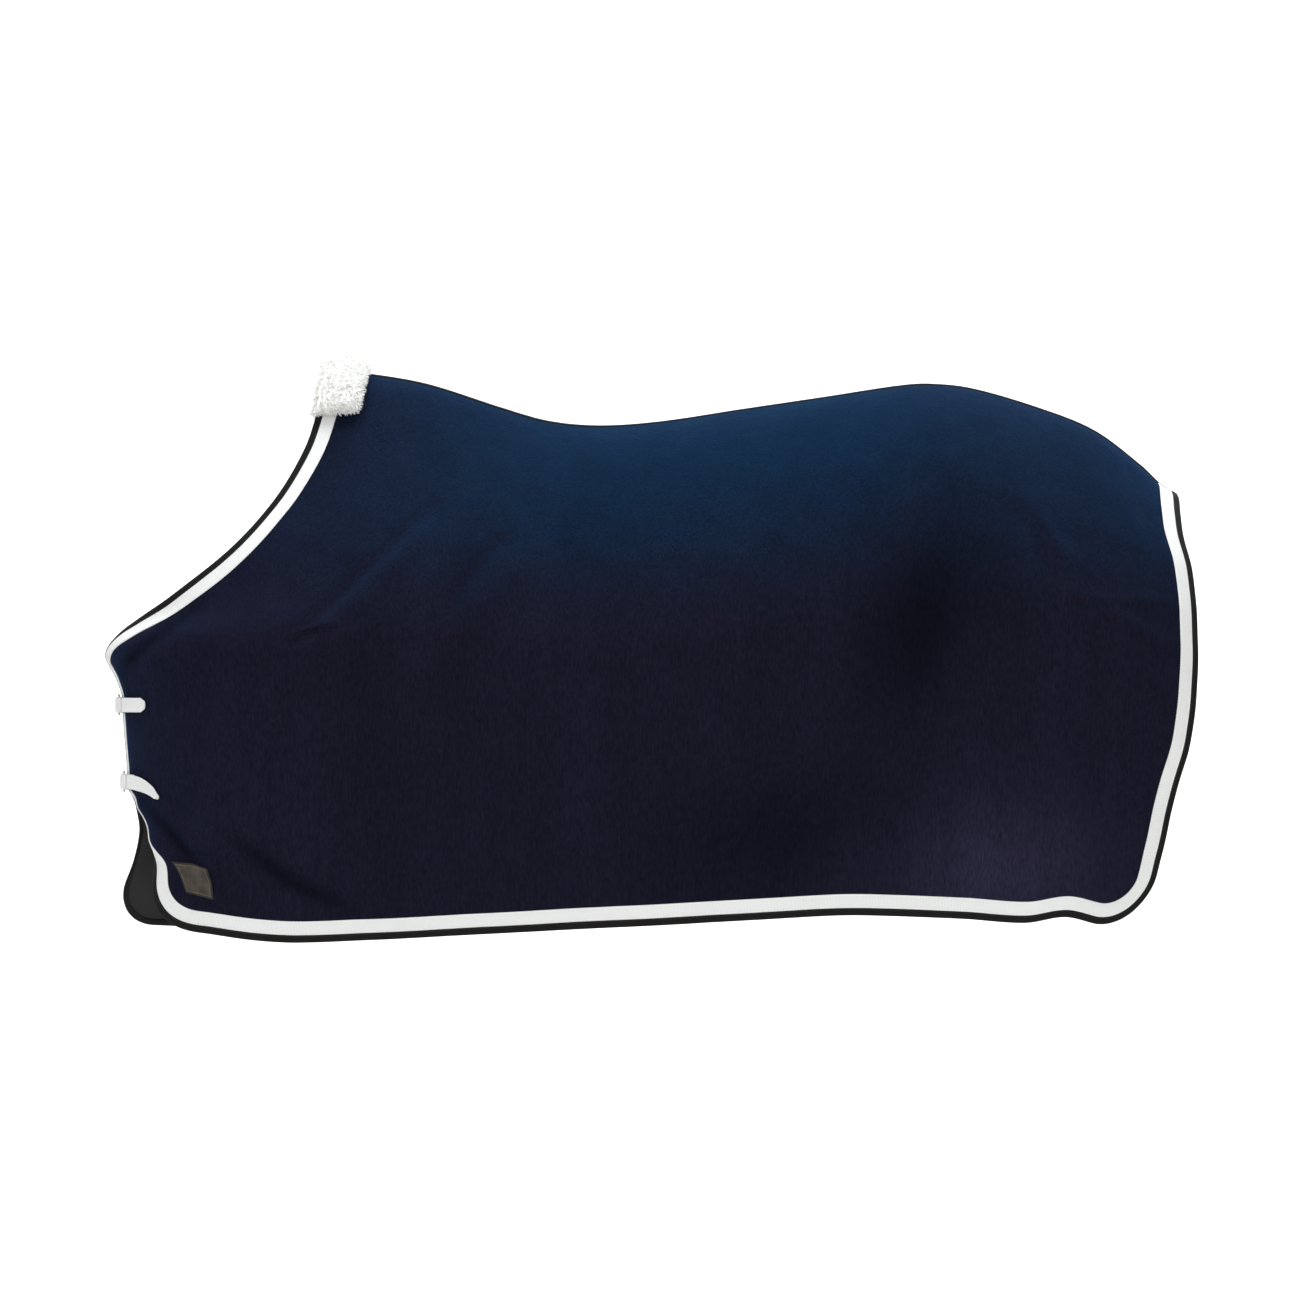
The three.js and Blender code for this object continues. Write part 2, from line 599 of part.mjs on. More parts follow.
for (const strap of STRAPS) {
  const at = chest(strap);
  // billet sewn to the off front, through the buckle and keeper
  const billet = [
    [-112, BASE + 1], [-96, BASE + 1], [-78, BASE + 1], [-60, BASE + 1], [-44, BASE + 1], [-33, BASE + 0.6],
    [-21, UNDER_B], [-14, UNDER_B], [HEEL_A - 15, lerp(UNDER_B, TOP_B, 0.38)],
    [HEEL_A - 2.5, TOP_B - 0.5], [HEEL_A + 1.5, TOP_B], [HEEL_A + 6, TOP_B - 0.8], [HEEL_A + 12, RUN_B + 1.4],
    [HEEL_A + 18, RUN_B], [35, RUN_B], [45, RUN_B], [54, RUN_B],
  ];
  const slotAt = (k) => k === 8;
  add(`${strap.name}_billet`, strapLayer(at, billet, STRAP_T, slotAt).geometry(), MAT.webbing);
  // free tail of the billet
  const tail = [[54.5, RUN_B], [61, RUN_B]];
  const steps = 6;
  for (let k = 0; k <= steps; k += 1) {
    const a = lerp(69, strap.tail, k / steps);
    tail.push([a, lerp(RUN_B, BASE, ease(69, 104, a))]);
  }
  const droop = (a) => -strap.droop * ((a - 54.4) / (strap.tail - 54.4)) ** 2;
  const thin = strap.droop ? 0.3 : 0;
  const taper = (a) => 1 - 0.35 * ease(strap.tail - 12, strap.tail, a) - thin * ease(80, strap.tail, a);
  const tailSolid = strapLayer(at, tail, STRAP_T, () => false, droop, taper).geometry();
  add(`${strap.name}_billet_tail`, tailSolid, MAT.webbing);
  // chape folded round the heel bar, slotted for the prong
  const chape = [[66, PLY], [54, PLY], [44, PLY], [34, PLY], [24, PLY], [HEEL_A + 6, PLY], [HEEL_A, PLY]];
  for (const deg of [225, 180, 135, 90, 62, 38]) {
    const r = (deg * Math.PI) / 180;
    chape.push([HEEL_A + LOOP_R * Math.cos(r), HEEL_B + LOOP_R * Math.sin(r)]);
  }
  chape.push([HEEL_A + 4.9, PLY2 + 0.5], [HEEL_A + 7, PLY2]);
  for (const a of [24, 34, 44, 54, 66]) chape.push([a, PLY2]);
  const chapeCut = (k) => k >= 5 && k <= 13;
  add(`${strap.name}_chape`, strapLayer(at, chape, CHAPE_T, chapeCut).geometry(), MAT.webbing);
  // keeper loop round chape and billet
  {
    const inH = STRAP_W / 2 + 0.6;
    const inLow = BASE - 0.35;
    const inTop = RUN_B + 1.3;
    const rect = (h, lo, hi) => [[-h, lo], [h, lo], [h, hi], [-h, hi]].map((q) => new THREE.Vector2(...q));
    const shape = new THREE.Shape(rect(inH + KEEPER_T, inLow - KEEPER_T, inTop + KEEPER_T));
    shape.holes.push(new THREE.Path(rect(inH, inLow, inTop).reverse()));
    const g = new THREE.ExtrudeGeometry(shape, { depth: KEEPER_L, bevelEnabled: false });
    const q = at(KEEPER_A);
    const up = new THREE.Vector3(0, 0, 1);
    const run = new THREE.Vector3().crossVectors(up, q.n);
    const m = new THREE.Matrix4().makeBasis(up, q.n, run);
    m.setPosition(q.p.clone().addScaledVector(run, -KEEPER_L / 2));
    g.applyMatrix4(m);
    add(`${strap.name}_keeper`, g, MAT.webbing);
  }
  // buckle in its own flat frame: origin on the heel bar, u to the toe bar, w outward
  const heel = off(at(HEEL_A), HEEL_B);
  const toe = off(at(TOE_A), HEEL_B);
  const u = toe.clone().sub(heel);
  const len = u.length();
  u.normalize();
  const w = new THREE.Vector3().crossVectors(u, new THREE.Vector3(0, 0, 1));
  if (w.x > 0) w.negate();
  const local = (x, y, z) => {
    const v = heel.clone().addScaledVector(u, x).addScaledVector(w, y);
    v.z += z;
    return v;
  };
  const halfW = BUCKLE_W / 2 + 1 + BAR_R;
  {
    const path = [];
    const [x0, x1, z1] = [FRAME_CORNER, len - FRAME_CORNER, halfW - FRAME_CORNER];
    for (const [cx, cz, from] of [[x1, z1, 0], [x0, z1, 90], [x0, -z1, 180], [x1, -z1, 270]]) {
      for (const step of [0, 45, 90]) {
        const r = ((from + step) * Math.PI) / 180;
        const [c, d] = [Math.cos(r), Math.sin(r)];
        path.push([cx + FRAME_CORNER * c, cz + FRAME_CORNER * d, c, d]);
      }
    }
    const list = path.map(([x, z, nx, nz]) => {
      const sec = [];
      for (let e = 0; e < 8; e += 1) {
        const r = (e * Math.PI) / 4 + Math.PI / 8;
        const d = BAR_R * Math.cos(r);
        sec.push(local(x + nx * d, BAR_R * Math.sin(r), z + nz * d));
      }
      return sec;
    });
    add(`${strap.name}_buckle_frame`, sweep(list, null, true).geometry(), MAT.metal);
  }
  {
    const list = [];
    const n = 12;
    const h = BUCKLE_W / 2 - 0.4;
    const bore = BORE_R / Math.cos(Math.PI / n);
    for (let e = 0; e < n; e += 1) {
      const angle = (e * 2 * Math.PI) / n;
      const ringAt = (r, z) => local(len + r * Math.cos(angle), r * Math.sin(angle), z);
      list.push([ringAt(bore, -h), ringAt(ROLLER_R, -h), ringAt(ROLLER_R, h), ringAt(bore, h)]);
    }
    add(`${strap.name}_roller`, sweep(list, null, true).geometry(), MAT.metal);
  }
  {
    // prong: an eye round the heel bar and an arm resting on the roller
    const rise = Math.asin((ROLLER_R + 0.3 + PRONG_T / 2) / len);
    const eye = LOOP_R + CHAPE_T / 2;
    const arm = PRONG_T / 2 - 0.2;
    const a0 = Math.asin(arm / eye);
    const outline = [];
    for (let k = 0; k <= 12; k += 1) {
      const r = a0 + ((2 * Math.PI - 2 * a0) * k) / 12;
      outline.push(new THREE.Vector2(eye * Math.cos(r), eye * Math.sin(r)));
    }
    outline.push(new THREE.Vector2(len + 3, -arm), new THREE.Vector2(len + 6.5, -arm * 0.4));
    outline.push(new THREE.Vector2(len + 6.5, arm * 0.6), new THREE.Vector2(len + 3, arm));
    const shape = new THREE.Shape(outline);
    const hole = [];
    for (let k = 0; k < 12; k += 1) {
      const r = (-2 * Math.PI * k) / 12;
      const bore = BORE_R / Math.cos(Math.PI / 12);
      hole.push(new THREE.Vector2(bore * Math.cos(r), bore * Math.sin(r)));
    }
    shape.holes.push(new THREE.Path(hole));
    const g = new THREE.ExtrudeGeometry(shape, { depth: PRONG_T, bevelEnabled: false });
    g.translate(0, 0, -PRONG_T / 2);
    g.rotateZ(rise);
    const m = new THREE.Matrix4().makeBasis(u, w, new THREE.Vector3(0, 0, 1));
    m.setPosition(heel);
    g.applyMatrix4(m);
    add(`${strap.name}_prong`, g, MAT.metal);
  }
}

export default group;
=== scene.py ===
import math
import bmesh
import bpy
import numpy as np
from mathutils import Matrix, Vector


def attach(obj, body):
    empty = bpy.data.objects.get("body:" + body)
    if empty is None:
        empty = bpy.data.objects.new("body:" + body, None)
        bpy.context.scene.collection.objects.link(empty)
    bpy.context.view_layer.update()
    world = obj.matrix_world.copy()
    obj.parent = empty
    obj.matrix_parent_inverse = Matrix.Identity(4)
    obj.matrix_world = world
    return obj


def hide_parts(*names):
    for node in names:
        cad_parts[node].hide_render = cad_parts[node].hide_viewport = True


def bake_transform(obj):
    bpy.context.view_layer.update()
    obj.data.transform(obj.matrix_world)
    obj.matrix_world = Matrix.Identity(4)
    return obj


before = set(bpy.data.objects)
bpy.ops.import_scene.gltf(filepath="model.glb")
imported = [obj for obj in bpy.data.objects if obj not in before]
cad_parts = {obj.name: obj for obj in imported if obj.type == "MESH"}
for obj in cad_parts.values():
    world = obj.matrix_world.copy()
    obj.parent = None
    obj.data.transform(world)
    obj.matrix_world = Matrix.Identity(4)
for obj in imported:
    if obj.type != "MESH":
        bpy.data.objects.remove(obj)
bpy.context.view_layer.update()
milli = 0.001  # the shapes below are worked out in millimetres, as in the CAD model


# camera: square on to the near side, long lens
view = {"distance": 24.0, "across": 2.275, "x": 0.0875, "z": -0.385}
camera = bpy.data.objects.new("camera", bpy.data.cameras.new("camera"))
camera.data.sensor_width = 36
camera.data.lens = 36 * view["distance"] / view["across"]
camera.data.clip_end = 100
camera.location = (view["x"], -view["distance"], view["z"])
camera.rotation_euler = (math.pi / 2, 0, 0)
bpy.context.scene.collection.objects.link(camera)
bpy.context.scene.camera = camera


def lerp(a, b, t):
    return a + (b - a) * t


def ease(a, b, v):
    u = np.clip((v - a) / (b - a), 0, 1)
    return u * u * (3 - 2 * u)


def curve(knots):
    # smooth curve through listed knots; each knot is [parameter, value, ...]
    k = np.array(knots, float)
    x, y, n = k[:, 0], k[:, 1:], len(k)
    lo, hi = np.maximum(np.arange(n) - 1, 0), np.minimum(np.arange(n) + 1, n - 1)
    m = (y[hi] - y[lo]) / (x[hi] - x[lo])[:, None]

    def at(t):
        t = np.clip(np.asarray(t, float), x[0], x[-1])
        i = np.clip(np.searchsorted(x, t) - 1, 0, n - 2)
        h = (x[i + 1] - x[i])[..., None]
        f = (t - x[i])[..., None] / h
        a, b = 2 * f**3 - 3 * f**2 + 1, f**3 - 2 * f**2 + f
        return a * y[i] + b * m[i] * h + (1 - a) * y[i + 1] + (f**3 - f**2) * m[i + 1] * h

    return at


# the rug's form: the same outlines and columns as the CAD panels
sizes = {"fleece": 3.0, "binding": 10.0, "webbing": 25.0, "corner": 85.0, "frontY": 18.0}
topZ = curve([
    [-480, 102], [-400, 95], [-300, 77], [-175, 37], [-90, 13], [0, 5], [105, 12], [245, 33], [400, 56],
    [525, 75], [577, 78], [650, 70], [770, 35], [865, -4], [945, -64], [980, -97], [1008, -114],
])
hemZ = curve([
    [-780, -868], [-700, -873], [-600, -886], [-525, -890], [-400, -885], [-245, -877], [0, -864],
    [245, -851],
    [400, -842], [480, -842], [630, -848], [735, -855], [805, -845], [870, -859], [945, -857],
])
wide = curve([[-300, 288], [-100, 306], [100, 325], [300, 330], [500, 318], [700, 298]])
drop = curve([[-200, 378], [100, 395], [400, 392], [700, 350]])
roof = curve([[-200, 0.28], [200, 0.18], [700, 0.12]])
frontY = sizes["frontY"]
neckKnots = [
    [0, -480, 0, 102], [0.025, -481, -30, 93], [0.053, -484, -58, 70], [0.095, -493, -82, 24],
    [0.15, -514, -105, -38], [0.23, -563, -132, -122], [0.32, -637, -150, -206], [0.426, -742, -132, -290],
    [0.494, -803, -92, -332], [0.546, -842, -48, -362], [0.583, -862, -15, -394],
]
strapKnots = [
    [0.615, -845, -frontY, -430], [0.649, -832, -frontY, -466], [0.672, -831, -frontY, -496],
    [0.72, -826, -frontY, -560], [0.755, -823, -frontY, -600], [0.775, -821, -frontY, -628],
]
front = {
    "near": curve(neckKnots + strapKnots + [
        [0.81, -796, -50, -655], [0.85, -774, -92, -692],
        [0.896, -771, -122, -740], [0.945, -777, -140, -800], [1, -781, -150, -868],
    ]),
    "off": curve(neckKnots + strapKnots + [
        [0.81, -808, 4, -655], [0.845, -801, 20, -698],
        [0.885, -812, 2, -748], [0.935, -832, -28, -800], [1, -846, -66, -866],
    ]),
}
rear = curve([
    [0, 1008, 0, -114], [0.062, 1010, -42, -124], [0.136, 1011, -82, -152], [0.216, 1015, -116, -190],
    [0.323, 1029, -150, -250], [0.45, 1036, -175, -330], [0.6, 1036, -190, -440], [0.688, 1025, -195, -540],
    [0.788, 997, -195, -640], [0.887, 975, -200, -740], [1, 945, -205, -857],
])
zone = {"front": 0.31, "rear": 0.79, "wide": 0.54}
turnIn = {"near": (0.87, 0.97), "off": (0.78, 0.95)}  # where the front edge opens out below the straps
curls = {"near": (20, 0.775, 0.82, 0.865, 0.92), "off": (13, 0.78, 0.83, 0.86, 0.94)}


def barrel(f, t):
    xt, xb = lerp(-110, 650, f), lerp(-300, 600, f)
    x = lerp(xt, xb, t)
    w, d, k, zt = wide(x)[..., 0], drop(x)[..., 0], roof(x)[..., 0], topZ(xt)[..., 0]
    u = np.clip(t / zone["wide"], 0, 1)
    a = u * math.pi / 2
    v = np.clip((t - zone["wide"]) / (1 - zone["wide"]), 0, 1)
    y = -w * lerp(np.sin(a), u, k) * (1 - 0.035 * v * v)
    z = zt - d * lerp(1 - np.cos(a), u, k)
    z = np.where(v > 0, lerp(zt - d, hemZ(xb)[..., 0], v), z)
    return np.stack([x, y, z], -1)


def form(side, s, t):
    # a point of the rug's middle surface, own side at -y: s runs front to rear, t from spine to hem
    s, t = np.clip(s, 0, 1), np.clip(t, 0, 1)
    s, t = np.broadcast_arrays(s, t)
    uf, ur = s / zone["front"], (s - zone["rear"]) / (1 - zone["rear"])

    def blended(t):
        wrap = lerp(0.12, 1, ease(0.4, 0.59, t)) - 0.45 * ease(*turnIn[side], t)
        bend = 1 - np.cos(uf * math.pi / 2)
        g, h = lerp(uf, bend, wrap), np.sin(uf * math.pi / 2)
        a, b = front[side](t), barrel(np.zeros_like(t), t)
        p = lerp(a, b, np.stack([g, h, g], -1))
        g2 = lerp(ur, np.sin(ur * math.pi / 2), 0.35)
        h2 = 1 - np.cos(ur * math.pi / 2)
        q = lerp(barrel(np.ones_like(t), t), rear(t), np.stack([g2, h2, g2], -1))
        mid = barrel(np.clip((s - zone["front"]) / (zone["rear"] - zone["front"]), 0, 1), t)
        p = np.where((s < zone["front"])[..., None], p, mid)
        return np.where((s >= zone["rear"])[..., None], q, p)

    p = blended(t)
    size, in0, in1, out0, out1 = curls[side]
    u = np.clip(uf / 0.3, 0, 1)
    p[..., 0] -= size * ease(in0, in1, t) * (1 - ease(out0, out1, t)) * 4 * u * (1 - u)
    # hold the top row on the top line and the bottom row on the hem
    ends = (s < zone["front"]) | (s >= zone["rear"])
    for edge, line, hold in ((0.0, topZ, 1 - ease(0, 0.5, t)), (1.0, hemZ, ease(0.6, 1, t))):
        q = blended(np.full_like(t, edge))
        p[..., 2] += np.where(ends, line(q[..., 0])[..., 0] - q[..., 2], 0) * hold
    return p


# drape: each fold has a path in side view, a half width and a height (a hollow is negative)
folds = [
    {"path": [(-285, -135), (-420, -265), (-534, -375), (-604, -472)], "width": 15, "height": -7},
    {"path": [(-325, -190), (-450, -330), (-590, -470)], "width": 30, "height": 8},
    {"path": [(-175, -200), (-260, -300), (-341, -402)], "width": 13, "height": -5.5},
    {"path": [(-120, -215), (-215, -330), (-300, -440)], "width": 28, "height": 6},
    {"path": [(-240, -240), (-330, -330), (-420, -440)], "width": 13, "height": -3},
    {"path": [(-700, -470), (-640, -600), (-600, -760)], "width": 40, "height": -5},
    {"path": [(-700, -318), (-790, -384), (-828, -430)], "width": 12, "height": -4},
    {"path": [(590, -150), (545, -330), (500, -510), (420, -610), (230, -690), (-40, -790)], "width": 78,
        "height": -19},
    {"path": [(700, -560), (690, -680), (640, -790)], "width": 80, "height": 9},
    {"path": [(742, -121), (805, -224), (812, -290)], "width": 13, "height": 5.5},
    {"path": [(720, -150), (775, -250), (780, -330)], "width": 17, "height": -4},
    {"path": [(812, -285), (890, -300), (983, -299)], "width": 8, "height": 3.2},
    {"path": [(845, -306), (915, -335), (983, -375)], "width": 11, "height": 3},
    {"path": [(835, -310), (860, -400), (873, -490)], "width": 11, "height": -4.5},
    {"path": [(887, -20), (940, -110), (972, -215)], "width": 12, "height": -3.5},
    {"path": [(905, -40), (955, -140), (985, -240)], "width": 9, "height": 2.2},
    {"path": [(950, -470), (955, -600), (925, -720)], "width": 20, "height": -4.5},
    {"path": [(-790, -650), (-735, -715), (-672, -789)], "width": 10, "height": -5.5},
    {"path": [(-775, -640), (-718, -700), (-655, -770)], "width": 9, "height": 4},
    {"path": [(-628, -715), (-545, -780), (-430, -835)], "width": 19, "height": -5},
    {"path": [(-560, -700), (-480, -760), (-360, -830)], "width": 22, "height": 3.5},
    {"path": [(120, -560), (90, -690), (100, -800)], "width": 45, "height": 5},
    {"path": [(-180, -520), (-215, -660), (-220, -800)], "width": 42, "height": -5},
]


def nearPath(path, x, z):
    # distance in side view to a line of points, and how far along it
    path = np.array(path, float)
    best = np.full(x.shape, 1e9)
    along = np.zeros_like(x)
    for k in range(len(path) - 1):
        a, d = path[k], path[k + 1] - path[k]
        u = np.clip(((x - a[0]) * d[0] + (z - a[1]) * d[1]) / (d @ d), 0, 1)
        r = np.hypot(x - a[0] - u * d[0], z - a[1] - u * d[1])
        along = np.where(r < best, (k + u) / (len(path) - 1), along)
        best = np.minimum(best, r)
    return best, along


def creaseShade(x, z):
    # painted shade along the fold hollows at the chest
    total = np.zeros_like(x)
    for path, width in (
        ([(-695, -306), (-790, -372), (-835, -424), (-824, -462)], 10),
        ([(-628, -715), (-545, -780), (-430, -835)], 15),
        ([(-790, -650), (-735, -715), (-672, -789)], 10),
    ):
        best, along = nearPath(path, x, z)
        total += np.exp(-((best / width) ** 2)) * np.sin(math.pi * np.clip(along, 0.04, 0.96)) ** 0.4
    return np.clip(total, 0, 1)


def foldHeight(side, p):
    x, z = p[..., 0], p[..., 2]
    if side == "off":
        x, z = x - 25, z + 18
    total = np.zeros_like(x)
    for fold in folds:
        best, along = nearPath(fold["path"], x, z)
        grow = 0.55 + 0.45 * np.sin(math.pi * along)
        total += fold["height"] * grow * np.exp(-((best / fold["width"]) ** 2))
    low = ease(-420, -850, z)
    total += low * (3.2 * np.sin(x / 61 + 0.6) + 2.4 * np.sin(x / 37 + 2.1 + z / 260))
    total += 0.7 * np.sin(x / 19 + z / 31) * np.sin(z / 23 - x / 47 + 1.3)
    return total * ease(0, -120, z - topZ(x)[..., 0])


def cloth(side, s, t, height=0.0):
    # points and outward normals of the draped fleece, in millimetres, own side at -y
    def draped(s, t):
        p = form(side, s, t)
        h = foldHeight(side, p) * ease(0, 0.02, t) * (1 - 0.85 * ease(0.06, 0.0, s))
        a = s * 1430  # millimetres in from the front edge at the chest
        roll = ease(30, 48, a) * (1 - ease(60, 120, a)) * ease(0.585, 0.62, t) * (1 - ease(0.775, 0.8, t))
        return p, h + (4.2 * roll if side == "near" else 0)

    def placed(s, t, n):
        p, h = draped(s, t)
        return p + n * h[..., None]

    def normal(at, s, t):
        e = 1.5e-3
        s0, s1 = np.clip(s - e, 0, 1), np.clip(s + e, 0, 1)
        t0, t1 = np.clip(t - e, 0, 1), np.clip(t + e, 0, 1)
        ds, dt = at(s1, t) - at(s0, t), at(s, t1) - at(s, t0)
        n = np.cross(dt, ds)
        return n / np.maximum(np.linalg.norm(n, axis=-1, keepdims=True), 1e-9)

    s, t = np.broadcast_arrays(np.asarray(s, float), np.asarray(t, float))
    n0 = normal(lambda a, b: form(side, a, b), s, t)
    p = placed(s, t, n0)
    n = normal(lambda a, b: placed(a, b, n0), s, t)
    return p + n * np.asarray(height, float)[..., None] if np.ndim(height) else p + n * height, n


def edgeRates(side):
    # millimetres per unit of s at the front and rear edges, and per unit of t at the hem
    t = np.linspace(0, 1, 401)
    e = 1e-3
    rates = {}
    for name, s0, s1 in (("front", 0.0, e), ("rear", 1 - e, 1.0)):
        edge = 0.0 if name == "front" else 1.0
        ds = (form(side, np.full_like(t, s1), t) - form(side, np.full_like(t, s0), t)) / e
        lo, hi = np.clip(t - e, 0, 1), np.clip(t + e, 0, 1)
        dt = form(side, np.full_like(t, edge), hi) - form(side, np.full_like(t, edge), lo)
        dt /= np.linalg.norm(dt, axis=-1, keepdims=True)
        across = ds - dt * (ds * dt).sum(-1, keepdims=True)
        rates[name] = np.linalg.norm(across, axis=-1)
    s = t
    dt = (form(side, s, np.ones_like(s)) - form(side, s, np.full_like(s, 1 - e))) / e
    low = np.linalg.norm(dt, axis=-1)
    return {
        "front": lambda v: np.interp(v, t, rates["front"]),
        "rear": lambda v: np.interp(v, t, rates["rear"]),
        "low": lambda v: np.interp(v, s, low),
    }


rates = {side: edgeRates(side) for side in ("near", "off")}


def fromEdges(side, end, a, b):
    # s and t of a point a millimetres in from the front or rear edge and b up from the hem
    guess = a / rates[side][end](0.93)
    t = 1 - b / rates[side]["low"](guess if end == "front" else 1 - guess)
    s = a / rates[side][end](t)
    return (s if end == "front" else 1 - s), t


def roundCorner(a, b):
    r = sizes["corner"]
    m = np.minimum(a, b)
    run = np.where(a < b, r - b, r - m + (a - m)) / np.maximum(2 * (r - m), 1e-6)
    angle = math.pi * (1 + run / 2)
    inside = (a < r) & (b < r)
    return (np.where(inside, r + (r - m) * np.cos(angle), a),
        np.where(inside, r + (r - m) * np.sin(angle), b))


def panelGrid(side, columns, rows):
    r = sizes["corner"]
    ring = r * np.linspace(0, 1, 13) ** 1.3
    n = len(ring)
    tm = np.linspace(0, 1, rows)
    tm = 0.75 * tm + 0.25 * tm**2  # closer rows towards the spine
    sm = np.linspace(0, 1, columns)
    sAll = np.zeros((columns + 2 * n - 2, rows + n - 1))
    tAll = np.zeros_like(sAll)
    for i in range(sAll.shape[0]):
        end = "front" if i < sAll.shape[0] / 2 else "rear"
        k = i if i < n else (sAll.shape[0] - 1 - i if i >= sAll.shape[0] - n else None)
        for part in ("top", "low"):
            if part == "top":
                sGuess = 0.0 if end == "front" else 1.0
                if k is None:
                    sGuess = lerp(r / rates[side]["front"](0.5), 1 - r / rates[side]["rear"](0.5),
                        sm[i - n + 1])
                t = tm * (1 - r / rates[side]["low"](sGuess))
                cols = slice(0, rows)
                b = None
            else:
                b = ring[::-1]
                cols = slice(rows - 1, rows + n - 1)
            if k is not None:
                a = np.full(rows if part == "top" else n, ring[k])
                if part == "low":
                    s, t = fromEdges(side, end, *roundCorner(a, b))
                else:
                    foot = ring[k] / rates[side][end](0.93)
                    t = tm * (1 - r / rates[side]["low"](foot if end == "front" else 1 - foot))
                    s = a / rates[side][end](t)
                    s = s if end == "front" else 1 - s
            else:
                f = sm[i - n + 1]
                if part == "low":
                    s0 = lerp(r / rates[side]["front"](0.93), 1 - r / rates[side]["rear"](0.93), f)
                    t = 1 - b / rates[side]["low"](s0)
                s = lerp(r / rates[side]["front"](t), 1 - r / rates[side]["rear"](t), f)
            sAll[i, cols], tAll[i, cols] = s, t
    return sAll, tAll


def toWorld(side, p):
    q = np.array(p, float) * milli
    if side == "off":
        q[..., 1] *= -1
    return q


def makeMesh(name, points, faces, uvs=None, smooth=True):
    # object from points in metres and a list of quads or triangles, with optional per-point uvs
    mesh = bpy.data.meshes.new(name)
    mesh.from_pydata(points.tolist(), [], faces)
    if uvs is not None:
        layer = mesh.uv_layers.new(name="uv")
        index = np.empty(len(mesh.loops), int)
        mesh.loops.foreach_get("vertex_index", index)
        layer.data.foreach_set("uv", np.asarray(uvs)[index].astype(np.float32).ravel())
    mesh.polygons.foreach_set("use_smooth", np.full(len(mesh.polygons), smooth))
    mesh.update()
    obj = bpy.data.objects.new(name, mesh)
    bpy.context.scene.collection.objects.link(obj)
    return obj


def gridFaces(ni, nj, start=0, flip=False, loopJ=False):
    i, j = np.meshgrid(np.arange(ni - 1), np.arange(nj if loopJ else nj - 1), indexing="ij")
    k = (j + 1) % nj
    quad = np.stack([i * nj + j, i * nj + k, (i + 1) * nj + k, (i + 1) * nj + j], -1).reshape(-1, 4) + start
    return (quad[:, ::-1] if flip else quad).tolist()


def fixNormals(obj):
    # turns a closed mesh's faces outward
    bm = bmesh.new()
    bm.from_mesh(obj.data)
    bmesh.ops.recalc_face_normals(bm, faces=bm.faces)
    bm.to_mesh(obj.data)
    bm.free()


def shell(name, outer, inner, uv=None):
    # closed sheet from two grids of points in metres: outer and inner skin and the rim between
    ni, nj = outer.shape[:2]
    points = np.concatenate([outer.reshape(-1, 3), inner.reshape(-1, 3)])
    faces = gridFaces(ni, nj) + gridFaces(ni, nj, ni * nj, flip=True)
    rim = [i * nj for i in range(ni)] + [(ni - 1) * nj + j for j in range(1, nj)]
    rim += [i * nj + nj - 1 for i in range(ni - 2, -1, -1)] + [j for j in range(nj - 2, 0, -1)]
    for a, b in zip(rim, rim[1:] + rim[:1]):
        faces.append([a, b, b + ni * nj, a + ni * nj])
    uvs = None if uv is None else np.concatenate([uv.reshape(-1, 2)] * 2)
    obj = makeMesh(name, points, faces, uvs)
    fixNormals(obj)
    return obj


def tube(name, sections, uv=None, closed=False):
    # closed skin through a run of closed cross-sections (n, m, 3) in metres, capped at both ends
    n, m = sections.shape[:2]
    points = sections.reshape(-1, 3)
    faces = gridFaces(n, m, loopJ=True)
    if closed:
        faces += [[(n - 1) * m + j, (n - 1) * m + (j + 1) % m, (j + 1) % m, j] for j in range(m)]
    else:
        faces += [list(range(m)), list(range(n * m - 1, (n - 1) * m - 1, -1))]
    obj = makeMesh(name, points, faces, None if uv is None else uv.reshape(-1, 2))
    fixNormals(obj)
    return obj


# material helpers
def newMaterial(name, **sockets):
    mat = bpy.data.materials.new(name)
    mat.use_nodes = True
    shader = mat.node_tree.nodes["Principled BSDF"]
    for key, value in sockets.items():
        shader.inputs[key.replace("_", " ")].default_value = value
    return mat, mat.node_tree.nodes, mat.node_tree.links, shader


def addNode(nodes, kind, **settings):
    node = nodes.new(kind)
    for key, value in settings.items():
        if hasattr(node, key):
            setattr(node, key, value)
        else:
            node.inputs[key.replace("_", " ")].default_value = value
    return node


def colourNoise(mat, nodes, links, shader, dark, light, scale, detail=4.0, low=0.35, high=0.65):
    where = addNode(nodes, "ShaderNodeTexCoord")
    noise = addNode(nodes, "ShaderNodeTexNoise", Scale=scale, Detail=detail)
    ramp = addNode(nodes, "ShaderNodeValToRGB")
    ramp.color_ramp.elements[0].position, ramp.color_ramp.elements[1].position = low, high
    ramp.color_ramp.elements[0].color, ramp.color_ramp.elements[1].color = (*dark, 1), (*light, 1)
    links.new(where.outputs["Object"], noise.inputs["Vector"])
    links.new(noise.outputs["Fac"], ramp.inputs["Fac"])
    links.new(ramp.outputs["Color"], shader.inputs["Base Color"])
    return where, noise, ramp


def addBump(nodes, links, shader, height, strength, distance, under=None):
    bump = addNode(nodes, "ShaderNodeBump", Strength=strength, Distance=distance)
    links.new(height, bump.inputs["Height"])
    if under is not None:
        links.new(under.outputs["Normal"], bump.inputs["Normal"])
    links.new(bump.outputs["Normal"], shader.inputs["Normal"])
    return bump


